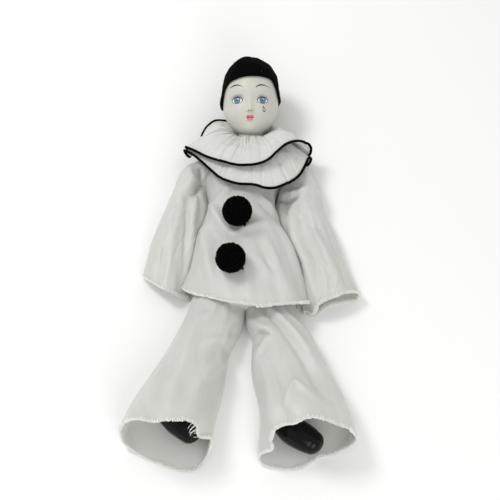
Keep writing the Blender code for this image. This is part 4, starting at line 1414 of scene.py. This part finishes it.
def lint_fibre(draw):
    """A bent fibre, 1 to 2 mm long, lying on the cap at a random place."""
    turn, polar = draw.uniform(-1.6, 1.6), draw.uniform(0.3, 0.95)
    heading = draw.uniform(0, math.tau)
    step = np.array((-1, -0.3, 0.4, 1))
    turns = turn + FIBRE_HALF * step * math.cos(heading) + FIBRE_BEND * step * step
    polars = polar + FIBRE_HALF * step * math.sin(heading)
    line = curve_through(head_surface(turns, polars, CAP_OUTSIDE + 0.55), 8)
    return cord("fibre", to_frame(line), lint, 0.09, 0.3, 0.4, 900.0)


lint_draw = np.random.default_rng(44)
cap_lint = joined("cap_lint", [lint_fibre(lint_draw) for _ in range(LINT_FIBRES)], lint)

# %% [markdown]
# ## Pompoms
#
# A pompom is hundreds of yarn ends bound at the middle and clipped to a ball. The tree
# scatters points evenly over a small core, stands a short bent strand of yarn on each,
# turned outwards with a little randomness, and joins them to the core. The end of the yarn
# that binds it hangs out at its lower side.

# %% A tree that makes a yarn ball
yarn_steps = Steps(
    "yarn ball", Density=900000.0, Spacing=0.0008, Long=0.006, Thick=0.0005, Tilt=0.3, Seed=3
)
given = yarn_steps.given
spots = yarn_steps.add("GeometryNodeDistributePointsOnFaces", {
    "Mesh": given["Geometry"], "Distance Min": given["Spacing"],
    "Density Max": given["Density"], "Seed": given["Seed"],
}, distribute_method="POISSON")
tilt_back = yarn_steps.times(given["Tilt"], -1.0)
tilt_low = yarn_steps.vector(X=tilt_back, Y=tilt_back, Z=-3.0)
tilt_high = yarn_steps.vector(X=given["Tilt"], Y=given["Tilt"], Z=3.0)
tilts = {0: tilt_low, 1: tilt_high, "Seed": given["Seed"]}
lean = yarn_steps.add("FunctionNodeRandomValue", tilts, data_type="FLOAT_VECTOR")[0]
lean = yarn_steps.add("FunctionNodeEulerToRotation", {0: lean})[0]
leaning = {"Rotation": spots["Rotation"], "Rotate By": lean}
turned = yarn_steps.add("FunctionNodeRotateRotation", leaning, rotation_space="LOCAL")[0]
bow = yarn_steps.vector(
    X=yarn_steps.times(given["Thick"], 1.6), Z=yarn_steps.times(given["Long"], 0.55)
)
strand_end = yarn_steps.vector(Z=given["Long"])
strand_line = yarn_steps.bent_line(2, (0.0, 0.0, 0.0), bow, strand_end)
strand = yarn_steps.sweep(strand_line, given["Thick"], 6)
strands = yarn_steps.scatter(spots["Points"], strand, turned, 0.82, 1.12, given["Seed"])
ball = yarn_steps.add("GeometryNodeJoinGeometry")
for part in (strands, given["Geometry"]):
    yarn_steps.tree.links.new(part, ball[0].node.inputs[0])
yarn_steps.finish(ball[0], wool)
print("yarn tree inputs:", list(yarn_steps.names))


# %% Both pompoms
POMPOM_SHIFT = 2.4
# The ball's radius as a share of the solid's, and its core's as a share of its own
POMPOM_SHARE, CORE_SHARE = 0.97, 0.80


def core_ball(centre, radius):
    body = bmesh.new()
    place = Matrix.Translation(centre)
    bmesh.ops.create_icosphere(body, subdivisions=4, radius=radius, matrix=place)
    mesh = bpy.data.meshes.new("core")
    body.to_mesh(mesh)
    body.free()
    return mesh


def pompom(name, node, seed):
    """A yarn ball in the place of a plain one, pulled a little towards the head."""
    low, high = (Vector(corner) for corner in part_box(node))
    radius = max(high - low) / 2 * POMPOM_SHARE
    centre = (low + high) / 2 + Vector((0, POMPOM_SHIFT * METRES, 0))
    core = core_ball(centre, radius * CORE_SHARE)
    return yarn_steps.grow(
        name, core, wool,
        Spacing=0.045 * radius, Density=230 / radius**2, Long=0.235 * radius, Thick=0.042 * radius,
        Tilt=0.5, Seed=seed,
    )


def yarn_end(name, ball, way):
    """The end of the yarn that binds a pompom, hanging out at its lower side."""
    corners = np.array(ball.bound_box)
    low, high = corners.min(0), corners.max(0)
    middle, radius = (low + high) / 2, (high - low)[0] / 2
    way = unit(np.array(way))
    bends = ((0.8, 0), (0.98, 0.03), (1.05, 0.0), (1.09, -0.05))
    line = [middle + radius * (way * out + np.array((side, side, 0))) for out, side in bends]
    return cord(name, curve_through(line, 12), wool, 0.75, 0.4, 0.5, 700.0)


upper_pompom = pompom("upper_yarn_pompom", "upper_pompom", 3)
lower_pompom = pompom("lower_yarn_pompom", "lower_pompom", 8)
upper_yarn_end = yarn_end("upper_yarn_end", upper_pompom, (0.49, -0.75, -0.44))
lower_yarn_end = yarn_end("lower_yarn_end", lower_pompom, (0.75, -0.55, -0.37))

# %% [markdown]
# ## Shoes
#
# The feet are glazed porcelain like the head, in black. They show only inside the cuffs.
# Each is a tube whose rings follow the foot from the shin to a rounded toe, with a fine
# ridge where the shoe's upper meets its sole.

# %% The shoes
# Middle x, y, z, half width and half height
RIGHT_FOOT = (
    (-73, -118, 15, 8.5, 8.5), (-75, -138, 15, 8.5, 8.5), (-76, -151, 15, 8.5, 9),
    (-75, -163, 15, 11, 12), (-67, -173, 15, 12, 12.5), (-60, -179, 15.5, 12, 11.8),
    (-55, -183, 15, 11.6, 11), (-53, -184.6, 15, 11.2, 10.6),
)
LEFT_FOOT = (
    (23, -118, 15, 8.5, 8.5), (23.5, -138, 15, 8.5, 8.5), (24, -153, 15, 8.5, 9),
    (26, -168, 15, 11, 12), (36, -182, 15.5, 12.5, 13), (46, -188.8, 15.5, 12.8, 12.3),
    (53, -193.2, 15, 11.9, 11), (56, -195, 14.8, 11.0, 10),
)
TOE_ROUND, WELT = 0.85, 0.5


def shoe(name, stations):
    """A glazed foot: rings across its line, a welt low at each side, and a round toe."""
    rows = curve_through(stations, 110)
    middle = rows[:, :3]
    ahead = unit(np.gradient(middle, axis=0))
    side = unit(np.cross(ahead, (0, 0, 1.0)))
    up = np.cross(side, ahead)
    turn = full_turn(96)
    toe = np.linspace(0, 1, len(rows))[:, None]
    welt = WELT * bell((np.sin(turn) + 0.42) / 0.10) * np.clip((toe - 0.45) * 6, 0, 1)
    wide = (rows[:, 3:4] + welt) * np.cos(turn)
    tall = (rows[:, 4:5] + welt * 0.3) * np.sin(turn)
    rings = middle[:, None] + side[:, None] * wide[..., None] + up[:, None] * tall[..., None]
    closing = []
    for angle in np.linspace(0, math.pi / 2, 12)[1:-1]:
        shrunk = middle[-1] + (rings[-1] - middle[-1]) * math.cos(angle)
        closing.append(shrunk + ahead[-1] * rows[-1, 3] * TOE_ROUND * math.sin(angle))
    return shell(name, to_frame(np.concatenate((rings, np.array(closing)))), glaze.material)


right_shoe = shoe("right_shoe", RIGHT_FOOT)
left_shoe = shoe("left_shoe", LEFT_FOOT)

# %% [markdown]
# ## The floor
#
# The floor lies just under the lowest of the solids, and reaches past what the camera sees.

# %% The floor
FLOOR_HALF, FLOOR_GAP = 3, 0.0004
floor_mesh = bpy.data.meshes.new("floor")
floor_low = cad_box[0][2] - FLOOR_GAP
square = ((-1, -1), (1, -1), (1, 1), (-1, 1))
corners = [(x * FLOOR_HALF, y * FLOOR_HALF, floor_low) for x, y in square]
floor_mesh.from_pydata(corners, [], [(0, 1, 2, 3)])
paper = Finish("white paper", (0.93, 0.93, 0.93), 0.85)
paper.bump(paper.speckle(300.0), 0.05, 0.0002)
floor = finished("floor", floor_mesh, paper.material)

# %% [markdown]
# ## What each piece stands for
#
# Every piece moves with the doll's one body. Each stands in the place of a plain solid, which is
# hidden.

# %% Pieces, solids and finishes
tunic = [suit[name] for name in ("tunic_body", "right_sleeve", "left_sleeve")]
trousers = [suit[name] for name in ("trouser_hips", "right_trouser_leg", "left_trouser_leg")]
# The finish's slot, the solid, and the pieces that stand in its place
PIECES = (
    ("white_satin", "tunic", tunic),
    ("white_satin", "trousers", trousers),
    ("white_satin", "upper_ruffle", [upper_ruffle]),
    ("white_satin", "lower_ruffle", [lower_ruffle]),
    ("black_piping", "upper_ruffle_piping", [upper_piping]),
    ("black_piping", "lower_ruffle_piping", [lower_piping]),
    ("bisque", "head", [head, neck]),
    ("black_glaze", "head", [face_lines]),
    ("black_velour", "skull_cap", [cap, cap_lint]),
    ("black_yarn", "upper_pompom", [upper_pompom, upper_yarn_end]),
    ("black_yarn", "lower_pompom", [lower_pompom, lower_yarn_end]),
    ("black_glaze", "right_foot", [right_shoe]),
    ("black_glaze", "left_foot", [left_shoe]),
)
for slot, node, pieces in PIECES:
    for piece in pieces:
        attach(piece, "root")
        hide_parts(node)
for piece in hem_stitches:
    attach(piece, "root")
print(sum(len(pieces) for slot, node, pieces in PIECES) + len(hem_stitches), "pieces")
